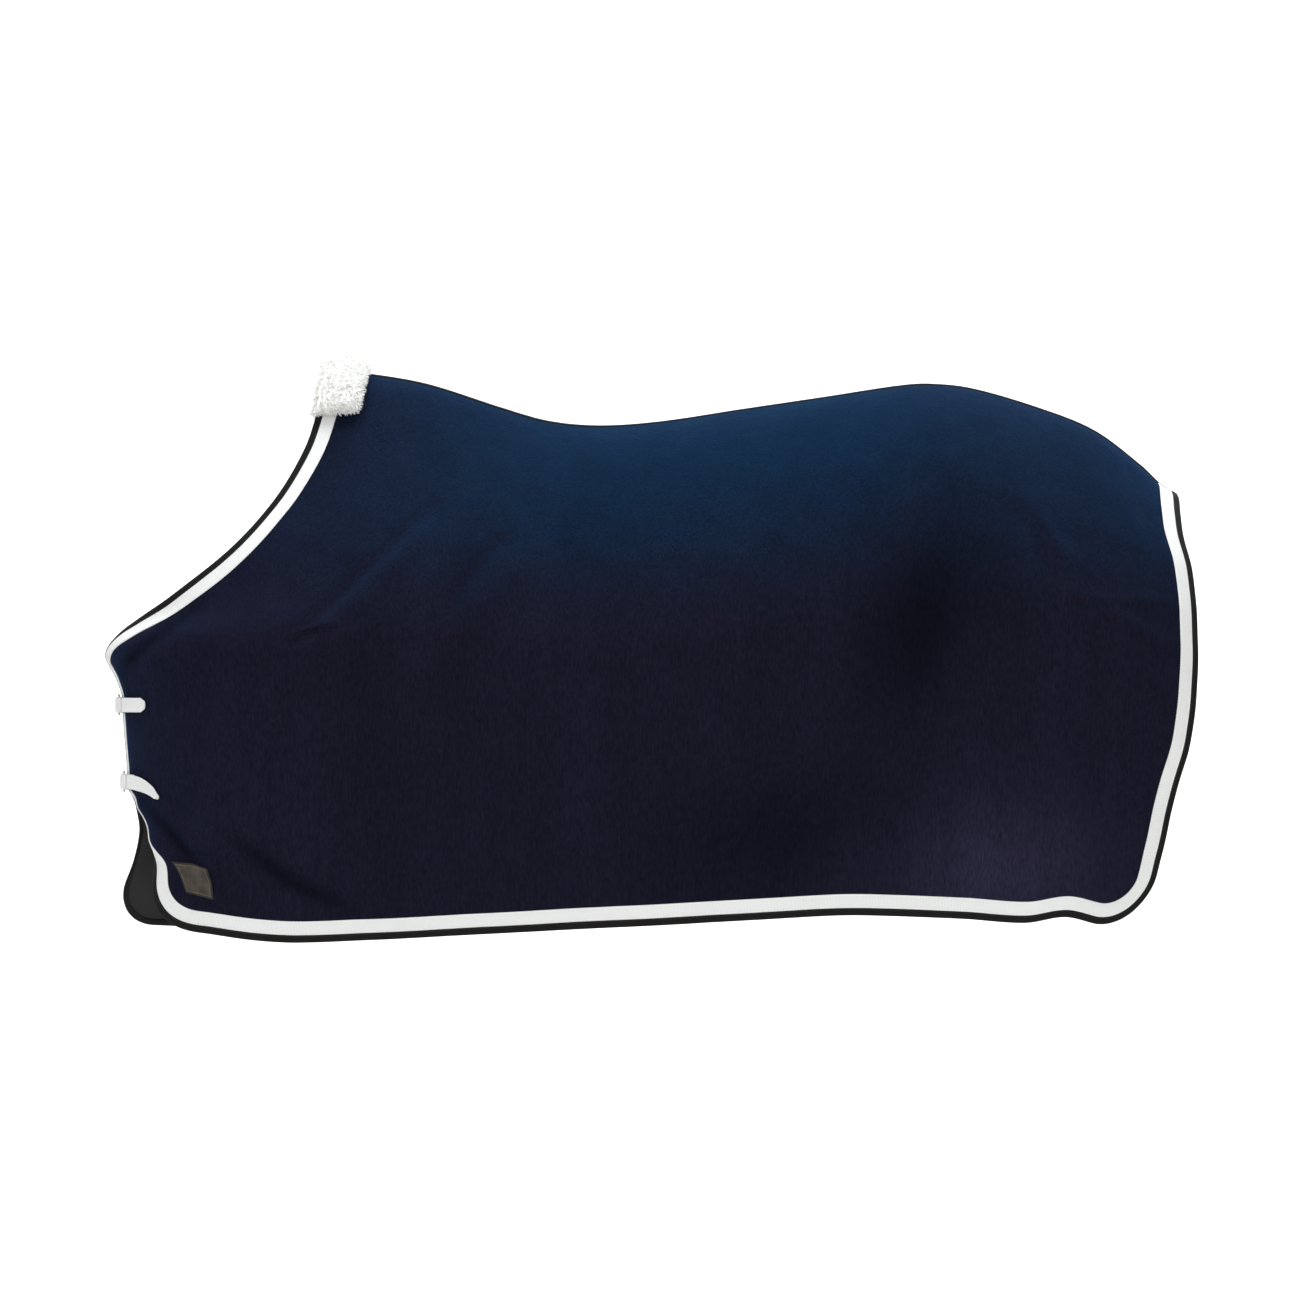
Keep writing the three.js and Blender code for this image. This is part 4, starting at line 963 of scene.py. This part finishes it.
def withWitherPad():
    t = np.linspace(-pad["rows"], pad["rows"], 41)
    p, n, out = neckFrame(t)
    n[20] = (n[19] + n[21]) / 2
    n /= np.linalg.norm(n, axis=-1, keepdims=True)
    end = np.abs(t) / pad["rows"]
    ring = []
    for into, height in pad["section"]:
        puff = 1 - 0.12 * end**2 - 0.25 * np.clip((end - 0.85) / 0.15, 0, 1) ** 2
        h = np.where(abs(height) > 6, height * puff, height)
        s = np.full_like(t, max(into, 0) / rates["near"]["front"](0.05))
        q, m = cloth("near", s, np.abs(t))
        flip = np.where(t[:, None] < 0, [[1, -1, 1]], [[1, 1, 1]])
        q, m = q * flip, m * flip
        m[20] = (m[19] + m[21]) / 2
        m /= np.linalg.norm(m, axis=-1, keepdims=True)
        ring.append(q + m * h[:, None] + out * max(-into, 0))
    sections = np.stack(ring, 1)
    base = tube("wither_pad_pile", sections * milli)
    remesh = base.modifiers.new("remesh", "REMESH")
    remesh.mode, remesh.voxel_size = "VOXEL", pad["voxel"] * milli
    depsgraph = bpy.context.evaluated_depsgraph_get()
    base.data = bpy.data.meshes.new_from_object(base.evaluated_get(depsgraph))
    base.modifiers.clear()
    start = np.empty(len(base.data.vertices) * 3)
    base.data.vertices.foreach_get("co", start)
    swell = base.modifiers.new("swell", "CLOTH")
    swell.settings.use_pressure = True
    swell.settings.uniform_pressure_force = pad["swell"]
    swell.settings.effector_weights.gravity = 0
    swell.settings.tension_stiffness = swell.settings.compression_stiffness = 25
    scene = bpy.context.scene
    for frameNumber in range(1, 15):
        scene.frame_set(frameNumber)
    depsgraph = bpy.context.evaluated_depsgraph_get()
    moved = bpy.data.meshes.new_from_object(base.evaluated_get(depsgraph))
    base.modifiers.clear()
    scene.frame_set(1)
    end = np.empty_like(start)
    moved.vertices.foreach_get("co", end)
    step = (end - start).reshape(-1, 3)
    size = np.linalg.norm(step, axis=-1, keepdims=True)
    step *= np.minimum(1, 3 * milli / np.maximum(size, 1e-9))
    base.data.vertices.foreach_set("co", (start.reshape(-1, 3) + step).ravel())
    smooth = base.modifiers.new("smooth", "SUBSURF")
    smooth.levels = smooth.render_levels = 1
    depsgraph = bpy.context.evaluated_depsgraph_get()
    base.data = bpy.data.meshes.new_from_object(base.evaluated_get(depsgraph))
    base.modifiers.clear()
    count = len(base.data.vertices)
    co, no = np.empty(count * 3), np.empty(count * 3)
    base.data.vertices.foreach_get("co", co)
    base.data.vertices.foreach_get("normal", no)
    co, no = co.reshape(-1, 3), no.reshape(-1, 3)
    lumps = 0.55 - cellNoise(co / milli, pad["curl"], 3)
    fine = 0.5 - cellNoise(co / milli + 400, pad["curl"] * 0.45, 8)
    co = co + no * ((lumps * pad["curlHeight"] + fine * 1.1) * milli)[:, None]
    base.data.vertices.foreach_set("co", co.ravel())
    base.data.polygons.foreach_set("use_smooth", np.full(len(base.data.polygons), True))
    base.data.update()
    finishPiece(base, "pile", replaces=["wither_pad"])
    print("wither pad", len(base.data.polygons))
    return base


witherPad = withWitherPad()


# pile: short bent tufts scattered over a piece
def tuftGroup():
    group = bpy.data.node_groups.new("tufts", "GeometryNodeTree")
    face = group.interface
    face.new_socket("Geometry", in_out="INPUT", socket_type="NodeSocketGeometry")
    for name, value in (("Density", 90000.0), ("Length", 0.005), ("Width", 0.0016), ("Lean", 0.6)):
        face.new_socket(name, in_out="INPUT", socket_type="NodeSocketFloat").default_value = value
    face.new_socket("Seed", in_out="INPUT", socket_type="NodeSocketInt").default_value = 5
    face.new_socket("Material", in_out="INPUT", socket_type="NodeSocketMaterial")
    face.new_socket("Geometry", in_out="OUTPUT", socket_type="NodeSocketGeometry")
    n, link = group.nodes, group.links
    start, end = n.new("NodeGroupInput"), n.new("NodeGroupOutput")
    spread = n.new("GeometryNodeDistributePointsOnFaces")
    cone = n.new("GeometryNodeMeshCone")
    cone.inputs["Vertices"].default_value, cone.inputs["Side Segments"].default_value = 5, 3
    cone.inputs["Radius Top"].default_value, cone.inputs["Radius Bottom"].default_value = 0.12, 0.5
    cone.inputs["Depth"].default_value = 1.0
    where, split = n.new("GeometryNodeInputPosition"), n.new("ShaderNodeSeparateXYZ")
    square, hook = n.new("ShaderNodeMath"), n.new("ShaderNodeCombineXYZ")
    square.operation = "POWER"
    square.inputs[1].default_value = 2.0
    bend = n.new("GeometryNodeSetPosition")
    scatter = n.new("GeometryNodeInstanceOnPoints")
    size, tilt = n.new("ShaderNodeCombineXYZ"), n.new("FunctionNodeRandomValue")
    tilt.data_type = "FLOAT_VECTOR"
    turn = n.new("GeometryNodeRotateInstances")
    vary, grow = n.new("FunctionNodeRandomValue"), n.new("ShaderNodeVectorMath")
    grow.operation = "SCALE"
    vary.inputs[2].default_value, vary.inputs[3].default_value = 0.55, 1.25
    negative = n.new("ShaderNodeCombineXYZ")
    low = n.new("ShaderNodeMath")
    low.operation = "MULTIPLY"
    low.inputs[1].default_value = -1.0
    high = n.new("ShaderNodeCombineXYZ")
    high.inputs["Z"].default_value = 6.283
    real, paint = n.new("GeometryNodeRealizeInstances"), n.new("GeometryNodeSetMaterial")
    link.new(start.outputs["Geometry"], spread.inputs["Mesh"])
    link.new(start.outputs["Density"], spread.inputs["Density"])
    link.new(start.outputs["Seed"], spread.inputs["Seed"])
    link.new(where.outputs[0], split.inputs[0])
    link.new(split.outputs["Z"], square.inputs[0])
    link.new(square.outputs[0], hook.inputs["X"])
    link.new(cone.outputs["Mesh"], bend.inputs["Geometry"])
    link.new(hook.outputs[0], bend.inputs["Offset"])
    link.new(spread.outputs["Points"], scatter.inputs["Points"])
    link.new(spread.outputs["Rotation"], scatter.inputs["Rotation"])
    link.new(bend.outputs["Geometry"], scatter.inputs["Instance"])
    link.new(start.outputs["Width"], size.inputs["X"])
    link.new(start.outputs["Width"], size.inputs["Y"])
    link.new(start.outputs["Length"], size.inputs["Z"])
    link.new(size.outputs[0], grow.inputs[0])
    link.new(vary.outputs[1], grow.inputs["Scale"])
    link.new(grow.outputs[0], scatter.inputs["Scale"])
    link.new(start.outputs["Lean"], low.inputs[0])
    link.new(low.outputs[0], negative.inputs["X"])
    link.new(low.outputs[0], negative.inputs["Y"])
    link.new(start.outputs["Lean"], high.inputs["X"])
    link.new(start.outputs["Lean"], high.inputs["Y"])
    link.new(negative.outputs[0], tilt.inputs[0])
    link.new(high.outputs[0], tilt.inputs[1])
    link.new(scatter.outputs["Instances"], turn.inputs["Instances"])
    link.new(tilt.outputs[0], turn.inputs["Rotation"])
    link.new(turn.outputs["Instances"], real.inputs["Geometry"])
    link.new(real.outputs["Geometry"], paint.inputs["Geometry"])
    link.new(start.outputs["Material"], paint.inputs["Material"])
    link.new(paint.outputs["Geometry"], end.inputs["Geometry"])
    return group


def growTufts(name, under, density, length, width, lean, seed, mat):
    obj = bpy.data.objects.new(name, under.data.copy())
    bpy.context.scene.collection.objects.link(obj)
    mod = obj.modifiers.new("tufts", "NODES")
    group = tuftGroup()
    mod.node_group = group
    ids = {item.name: item.identifier for item in group.interface.items_tree if item.in_out == "INPUT"}
    for key, value in (("Density", density), ("Length", length), ("Width", width), ("Lean", lean),
        ("Seed", seed)):
        mod[ids[key]] = value
    mod[ids["Material"]] = mats[mat]
    obj.data = bpy.data.meshes.new_from_object(obj.evaluated_get(bpy.context.evaluated_depsgraph_get()))
    obj.modifiers.clear()
    obj.data.name = name
    obj.data.polygons.foreach_set("use_smooth", np.full(len(obj.data.polygons), True))
    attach(obj, "rug")
    print(name, len(obj.data.polygons))
    return obj


growTufts("wither_pad_tufts", witherPad, 150000.0, 0.0058, 0.0019, 0.7, 5, "pile")


# label patch: blank stitched leather on the near lower front
label = {"corners": [(50, 0.903), (91, 0.906), (66, 0.947), (103, 0.952)], "lift": 2.0, "thick": 1.5,
    "rim": 4.4}


def labelPoint(f, g):
    c = np.array(label["corners"])
    a = lerp(lerp(c[0, 0], c[2, 0], g), lerp(c[1, 0], c[3, 0], g), f)
    t = lerp(lerp(c[0, 1], c[2, 1], g), lerp(c[1, 1], c[3, 1], g), f)
    e = 1e-3
    rate = np.linalg.norm(form("near", np.full_like(t, e), t) - form("near", np.zeros_like(t), t),
        axis=-1) / e
    return cloth("near", a / rate, t)


def withLabel():
    n = 45
    u = np.linspace(0, 1, n)
    f, g = np.meshgrid(u, u, indexing="ij")
    wide, tall = 44.0, 45.0
    x, y = f * 2 - 1, g * 2 - 1
    m = np.maximum(np.abs(x), np.abs(y))
    squared = np.where(m > 0, m / np.maximum((np.abs(x) ** 22 + np.abs(y) ** 22) ** (1 / 22), 1e-6), 1)
    x, y = x * lerp(1, squared, m**6), y * lerp(1, squared, m**6)
    p, nrm = labelPoint((x + 1) / 2, (y + 1) / 2)
    edge = np.minimum((1 - np.abs(x)) * wide / 2, (1 - np.abs(y)) * tall / 2)
    patchHalf = label["thick"] / 2 * (0.45 + 0.55 * ease(0, 1.6, edge))
    groove = 0.22 * np.exp(-(((edge - label["rim"]) / 0.8) ** 2))
    centre = p + nrm * (half + label["lift"])
    patch = bandMesh("leather_label", centre * milli, nrm, (patchHalf - groove) * milli)
    tone = patch.data.attributes.new("tone", "FLOAT", "POINT")
    tone.data.foreach_set("value", np.concatenate([ease(2.0, 3.0, edge).ravel()] * 2).astype(np.float32))
    finishPiece(patch, "leather", replaces=["label_patch"])
    k = np.linspace(0, 1, 60)
    m = label["rim"] / 25
    lo, hi = m / 2, 1 - m / 2
    lines = []
    for a, b in (((lo, lo), (hi, lo)), ((hi, lo), (hi, hi)), ((hi, hi), (lo, hi)), ((lo, hi), (lo, lo))):
        q, nn = labelPoint(lerp(a[0], b[0], k), lerp(a[1], b[1], k))
        lines.append((q + nn * (half + label["lift"] + label["thick"] / 2 - 0.05)) * milli)
    stitchLines("label_stitches", lines, "labelThread", spacing=0.0034, length=0.0025, thick=0.0007)


withLabel()

# chest straps: a runs along the strap from the near front edge, b is the height outward
strapSizes = {
    "width": 25.0, "thick": 2.0, "chape": 1.6, "bar": 2.0, "buckleL": 25.0, "buckleW": 28.0, "roller": 3.5,
    "bore": 2.3, "heel": 9.0, "prong": 3.0, "base": 6.2, "arc": (590.0, 272.0), "slot": 2.2, "keeper": (40.5,
        9.0),
}
straps = [
    {"name": "upper", "z": -481.0, "tail": 116.0, "droop": 0.0},
    {"name": "lower", "z": -615.0, "tail": 138.0, "droop": 26.0},
]
sz = strapSizes
ply = sz["base"] + sz["chape"] / 2
heelB = sz["base"] + sz["chape"] + sz["bore"]
loopR = sz["bore"] + sz["chape"] / 2
ply2 = sz["base"] + sz["chape"] * 1.5 + 0.3
runB = ply2 + sz["chape"] / 2 + 0.3 + sz["thick"] / 2
toeA = sz["heel"] - sz["buckleL"]
underB = heelB - sz["roller"] - 0.3 - sz["thick"] / 2
topB = heelB + loopR + sz["chape"] / 2 + 0.3 + sz["thick"] / 2


def strapFrame(strap):
    t = np.arange(0.6, 0.8, 0.002)
    f = front["near"](t)
    nose = min(f[np.abs(f[:, 2] - strap["z"] - dz) < 3][:, 0].min() for dz in (-13, 0, 13))
    ax, ay = sz["arc"]
    angles = np.linspace(0, 1.2, 4001)
    run = np.concatenate([[0], np.cumsum(np.hypot(ax * np.sin(angles),
        ay * np.cos(angles))[1:] * (angles[1]))])

    def at(a):
        a = np.asarray(a, float)
        other = a < -2 * frontY
        b = np.where(other, -2 * frontY - a, a)
        angle = np.interp(np.maximum(b, 0), run, angles)
        s, c = np.sin(angle), np.cos(angle)
        y = np.where(b < 0, -frontY - b, -frontY - ay * s)
        p = np.stack([nose + ax * (1 - c), y, np.full_like(a, strap["z"])], -1)
        n = np.stack([-ay * c, -ax * s, 0 * a], -1)
        e = np.stack([ax * s, -ay * c, 0 * a], -1)
        n /= np.linalg.norm(n, axis=-1, keepdims=True)
        e /= np.linalg.norm(e, axis=-1, keepdims=True)
        mirror = np.where(other[..., None], [1, -1, 1], [1, 1, 1])
        return p * mirror, n * mirror, e * mirror * np.where(other[..., None], -1, 1)

    return at


def smoothPath(path, step):
    q = np.array(path, float)
    length = np.concatenate([[0], np.cumsum(np.linalg.norm(np.diff(q, axis=0), axis=-1))])
    fine = curve([[u, *v] for u, v in zip(length, q)])
    return fine(np.linspace(0, length[-1], max(8, int(length[-1] / step))))


def strapBand(name, at, path, thick, slot=None, taper=None, droop=None, point=0.0, step=1.25):
    # slot = (first, last) station parameter of an opening down the middle
    line = smoothPath(path, step)
    q, n0, e0 = at(line[:, 0])
    centre = q + n0 * line[:, 1:]
    d = np.gradient(line, axis=0)
    d /= np.linalg.norm(d, axis=-1, keepdims=True)
    n = n0 * d[:, :1] - e0 * d[:, 1:]
    across = np.array([-1, -0.96, -0.8, -0.6, -0.4, -0.176, 0.176, 0.4, 0.6, 0.8, 0.96, 1]) * sz["width"] / 2
    length = np.concatenate([[0], np.cumsum(np.linalg.norm(np.diff(line, axis=0), axis=-1))])
    f = np.ones(len(line)) if taper is None else taper(line[:, 0])
    tooth = 0.25 * np.sin(2 * math.pi * length / 3.1)
    grid = np.repeat(centre[:, None, :], len(across), 1)
    w = across[None, :] * f[:, None] + np.sign(across)[None, :] * (np.abs(across) > 11)[None, :] * tooth[:,
        None]
    grid[..., 2] += w
    if droop is not None:
        grid[..., 2] += droop(line[:, 0])[:, None]
    if point:
        back = point * (np.abs(across) / (sz["width"] / 2)) ** 2
        near = ease(length[-1] - 22, length[-1], length)
        grid -= e0[:, None, :] * (near[:, None] * back[None, :])[..., None]
    normal = np.repeat(n[:, None, :], len(across), 1)
    thickness = np.where(np.abs(across) > 11.8, 0.55, np.where(np.abs(across) > 9.5, 0.92, 1.0)) * thick / 2
    halfThick = np.repeat(thickness[None, :], len(line), 0)
    keep = np.ones((len(line) - 1, len(across) - 1), bool)
    if slot is not None:
        mid = (line[1:, 0] + line[:-1, 0]) / 2
        param = (length[1:] + length[:-1]) / 2
        keep[slot(mid, param, (line[1:, 1] + line[:-1, 1]) / 2), 5] = False
    uv = np.stack(np.broadcast_arrays(across[None, :], length[:, None]), -1)
    return bandMesh(name, grid * milli, normal, halfThick * milli, keep, uv), line, grid, normal


def withStrap(strap):
    name, at = strap["name"], strapFrame(strap)
    heel, base = sz["heel"], sz["base"]
    billet = [
        (-112, base + 1), (-96, base + 1), (-78, base + 1), (-60, base + 1), (-44, base + 1),
        (-33, base + 0.6),
        (-21, underB), (-14, underB), (heel - 15, lerp(underB, topB, 0.38)), (heel - 2.5, topB - 0.5),
        (heel + 1.5, topB), (heel + 6, topB - 0.8), (heel + 12, runB + 1.4), (heel + 18, runB), (35, runB),
        (45, runB), (54, runB), (61, runB),
    ]
    for k in range(7):
        a = lerp(69, strap["tail"], k / 6)
        billet.append((a, lerp(runB, base, float(ease(69, 104, a)))))
    last = strap["tail"]

    def droop(a):
        return -strap["droop"] * (np.maximum(a - 54.4, 0) / (last - 54.4)) ** 2

    def taper(a):
        thin = 0.3 if strap["droop"] else 0
        return 1 - 0.35 * ease(last - 12, last, a) - thin * ease(80, last, a)

    band, line, grid, normal = strapBand(
        f"{name}_billet_webbing", at, billet, sz["thick"],
        slot=lambda a, u, b: (a > heel - 15) & (a < heel - 2.5), taper=taper, droop=droop, point=3.0,
    )
    finishPiece(band, "strap", body=None, replaces=[f"{name}_billet", f"{name}_billet_tail"])
    for key, a in (("start", 50.0), ("end", 60.0)):
        q, n, _ = at(np.array([a]))
    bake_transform(band)
    # two stitched lines down the tail, and a box where the billet is sewn on
    top = grid + normal * (sz["thick"] / 2 + 0.02)
    tailPart = line[:, 0] > 61
    for w, tag in ((2, "a"), (9, "b")):
        path = lerp(top[tailPart, w], top[tailPart, w + (1 if w == 2 else 0)], 0.5) * milli
        stitchLines(f"{name}_tail_stitches_{tag}", [path[:-3]], "whiteThread", body=f"{name}_billet_tail",
                    spacing=0.0032, length=0.0024, thick=0.0007)
    sewn = (line[:, 0] > -109) & (line[:, 0] < -82)
    rows = [top[sewn, 1], top[sewn, 10], top[sewn,
        1][[0]] + (top[sewn, 10][[0]] - top[sewn, 1][[0]]) * np.linspace(0, 1, 12)[:, None]]
    rows += [lerp(top[sewn, 1], top[sewn, 10], np.linspace(0, 1, sewn.sum())[:, None])]
    stitchLines(f"{name}_billet_stitches", [r * milli for r in rows], "whiteThread", spacing=0.0034,
        length=0.0025)

    loop = [(66, ply), (54, ply), (44, ply), (34, ply), (24, ply), (heel + 6, ply), (heel, ply)]
    for deg in (225, 180, 135, 90, 62, 38):
        r = math.radians(deg)
        loop.append((heel + loopR * math.cos(r), heelB + loopR * math.sin(r)))
    loop += [(heel + 4.9, ply2 + 0.5), (heel + 7, ply2), (24, ply2), (34, ply2), (44, ply2), (54, ply2),
        (66, ply2)]
    chape, line, grid, normal = strapBand(
        f"{name}_chape_webbing", at, loop, sz["chape"],
        slot=lambda a, u, b: (a < heel + 6.5) & (u > 45), step=1.0,
    )
    finishPiece(chape, "strap", replaces=[f"{name}_chape"])

    keeperA, keeperL = sz["keeper"]
    q, n, e = at(np.array([keeperA]))
    q, n, e = q[0], n[0], e[0]
    inH, low, high = sz["width"] / 2 + 1.15, base - 0.95, runB + 1.9
    corner = 1.3
    path = []
    for cx, cz, first in ((high - corner, inH - corner, 0), (low + corner, inH - corner, 90),
                          (low + corner, corner - inH, 180), (high - corner, corner - inH, 270)):
        for stepAngle in np.linspace(0, 90, 5):
            r = math.radians(first + stepAngle)
            path.append((cx + corner * math.cos(r), cz + corner * math.sin(r), math.cos(r), math.sin(r)))
    path = np.array(path)
    more = []
    for k in range(len(path)):
        a, b = path[k], path[(k + 1) % len(path)]
        pieces = max(1, int(np.hypot(*(b - a)[:2]) / 1.2))
        more += [lerp(a, b, m / pieces) for m in range(pieces)]
    path = np.array(more)
    section = [(-1, 0.5), (-0.93, 0.62), (-0.3, 0.65), (0.3, 0.65), (0.93, 0.62), (1, 0.5), (1, -0.5),
        (0.93, -0.6), (-0.93, -0.6), (-1, -0.5)]
    rings = []
    for b, z, nb, nz in path:
        ring = []
        for along, out in section:
            ring.append(q + n * (b + nb * out) + e * (along * keeperL / 2) + np.array([0, 0, z + nz * out]))
        rings.append(ring)
    rings = np.array(rings)
    uv = np.stack(np.broadcast_arrays(np.array([a * 4.5 for a, _ in section])[None, :],
        (np.arange(len(path)) * 1.2)[:, None]), -1)
    keeper = tube(f"{name}_keeper_webbing", rings * milli, uv, closed=True)
    finishPiece(keeper, "strap", replaces=[f"{name}_keeper"])
    withBuckle(strap, at)
    print(name, "strap", len(band.data.polygons), len(chape.data.polygons))


def withBuckle(strap, at):
    name = strap["name"]
    q, n, _ = at(np.array([sz["heel"], toeA]))
    heel, toe = (q + n * heelB)
    u = toe - heel
    reach = np.linalg.norm(u)
    u /= reach
    w = np.cross(u, [0, 0, 1])
    w = -w if w[0] > 0 else w
    up = np.array([0.0, 0, 1])

    def local(x, y, z):
        return heel + u * np.asarray(x)[..., None] + w * np.asarray(y)[..., None] + up * np.asarray(z)[...,
            None]

    # frame: round wire bent to a rectangle with rounded corners
    halfW = sz["buckleW"] / 2 + 1 + sz["bar"]
    r0 = 3.0
    path = []
    for cx, cz, first in ((reach - r0, halfW - r0, 0), (r0, halfW - r0, 90), (r0, r0 - halfW, 180),
        (reach - r0, r0 - halfW, 270)):
        for stepAngle in np.linspace(0, 90, 9):
            r = math.radians(first + stepAngle)
            path.append((cx + r0 * math.cos(r), cz + r0 * math.sin(r), math.cos(r), math.sin(r)))
    rings = []
    for x, z, nx, nz in path:
        r = np.linspace(0, 2 * math.pi, 20, endpoint=False) + math.pi / 20
        d = sz["bar"] * np.cos(r)
        rings.append(local(x + nx * d, sz["bar"] * np.sin(r), z + nz * d))
    wire = tube(f"{name}_buckle_wire", np.array(rings) * milli, closed=True)
    finishPiece(wire, "steel", body=f"{name}_buckle_frame", replaces=[f"{name}_buckle_frame"])

    # roller: rolled sheet tube with eased rims
    h, ro, ri = sz["buckleW"] / 2 - 0.4, sz["roller"], sz["bore"]
    profile = [(ri, -h + 0.3), (ri + 0.25, -h), (ro - 0.45, -h), (ro - 0.12, -h + 0.15), (ro, -h + 0.5),
        (ro, 0),
               (ro, h - 0.5), (ro - 0.12, h - 0.15), (ro - 0.45, h), (ri + 0.25, h), (ri, h - 0.3), (ri, 0)]
    angles = np.linspace(0, 2 * math.pi, 40, endpoint=False)
    rings = [[local(reach + r * math.cos(a), r * math.sin(a), z) for r, z in profile] for a in angles]
    roller = tube(f"{name}_roller_sleeve", np.array(rings) * milli, closed=True)
    finishPiece(roller, "steel", body=f"{name}_roller", replaces=[f"{name}_roller"])

    # prong: strip rolled round the heel bar, arm lying on the roller, blunt tip
    rise = math.asin((sz["roller"] + 0.3 + sz["prong"] / 2) / reach)
    eye, wall = loopR, 0.72
    centre = [(eye * math.cos(a), eye * math.sin(a)) for a in np.linspace(math.radians(24),
        math.radians(338), 30)]
    arm = [(x, 0.35 * math.sin(math.pi * min(1, max(0, (x - 3) / (reach - 2))))) for x in np.linspace(5.5,
        reach + 6, 26)]
    line = np.array(centre[::-1] + arm)
    d = np.gradient(line, axis=0)
    d /= np.linalg.norm(d, axis=-1, keepdims=True)
    side = np.stack([-d[:, 1], d[:, 0]], -1)
    x0 = line[:, 0]
    inEye = np.arange(len(line)) < 30
    thick = np.where(inEye, wall, lerp(1.15, 0.75, ease(reach - 4, reach + 6, x0)))
    broad = np.where(inEye, 1.4, lerp(1.4, 1.0, ease(reach, reach + 6, x0)))
    rings = []
    turn = np.array([[math.cos(rise), -math.sin(rise)], [math.sin(rise), math.cos(rise)]])
    for k in range(len(line)):
        r = np.linspace(0, 2 * math.pi, 16, endpoint=False)
        c, s = np.cos(r), np.sin(r)
        c, s = np.sign(c) * np.abs(c) ** 0.6, np.sign(s) * np.abs(s) ** 0.6
        flat = line[k][None, :] + side[k][None, :] * (thick[k] * c)[:, None]
        flat = flat @ turn.T
        rings.append(local(flat[:, 0], flat[:, 1], broad[k] * s))
    prong = tube(f"{name}_prong_tongue", np.array(rings) * milli)
    finishPiece(prong, "steel", body=f"{name}_prong", replaces=[f"{name}_prong"])


for strap in straps:
    withStrap(strap)


# pale seamless floor, well under the hanging rug
studio = {"floor": -1.62, "half": 16.0, "front": -12.0, "bend": 3.0, "radius": 4.0, "top": 14.0}


def withStudio():
    arc = np.linspace(0, math.pi / 2, 16)
    profile = [(studio["front"], 0.0)]
    profile += [(studio["bend"] + studio["radius"] * math.sin(a),
        studio["radius"] * (1 - math.cos(a))) for a in arc]
    profile.append((studio["bend"] + studio["radius"], studio["top"]))
    points = np.array([[x, y, z + studio["floor"]] for x in (-studio["half"], studio["half"]) for y,
        z in profile])
    obj = makeMesh("backdrop", points, gridFaces(2, len(profile)))
    mat, nodes, links, shader = newMaterial("backdrop_paint", Roughness=1.0, Specular_IOR_Level=0.0)
    shader.inputs["Base Color"].default_value = (0.95, 0.95, 0.95, 1)
    obj.data.materials.append(mat)


withStudio()

world = bpy.data.worlds.new("world")
bpy.context.scene.world = world
world.use_nodes = True
sky = world.node_tree.nodes["Background"]
sky.inputs["Color"].default_value = (1, 1, 1, 1)
path, strength = world.node_tree.nodes.new("ShaderNodeLightPath"), world.node_tree.nodes.new("ShaderNodeMath")
strength.operation = "MULTIPLY_ADD"  # white behind the rug, softer as a light on it
strength.inputs[1].default_value, strength.inputs[2].default_value = 0.55, 0.45
world.node_tree.links.new(path.outputs["Is Camera Ray"], strength.inputs[0])
world.node_tree.links.new(strength.outputs[0], sky.inputs["Strength"])


def lamp(name, where, at, size, power, tint=(1, 1, 1)):
    data = bpy.data.lights.new(name, "AREA")
    data.shape, data.size, data.size_y, data.energy, data.color = "RECTANGLE", size[0], size[1], power, tint
    obj = bpy.data.objects.new(name, data)
    obj.location = where
    obj.rotation_euler = (Vector(at) - Vector(where)).to_track_quat("-Z", "Y").to_euler()
    bpy.context.scene.collection.objects.link(obj)


lamp("top", (0.3, -0.3, 3.0), (0.1, 0, -0.3), (4.5, 1.6), 225, (0.92, 0.97, 1))
lamp("side", (-3.2, -4.8, 2.0), (0, 0, -0.4), (2.2, 2.2), 130)
lamp("quarters", (2.4, -2.4, -1.2), (0.75, -0.2, -0.7), (0.9, 0.9), 22)
lamp("backdropLight", (0, 1.5, 4.5), (0, 7, 0.5), (12, 2), 460)
bpy.context.scene.view_settings.view_transform = "Standard"
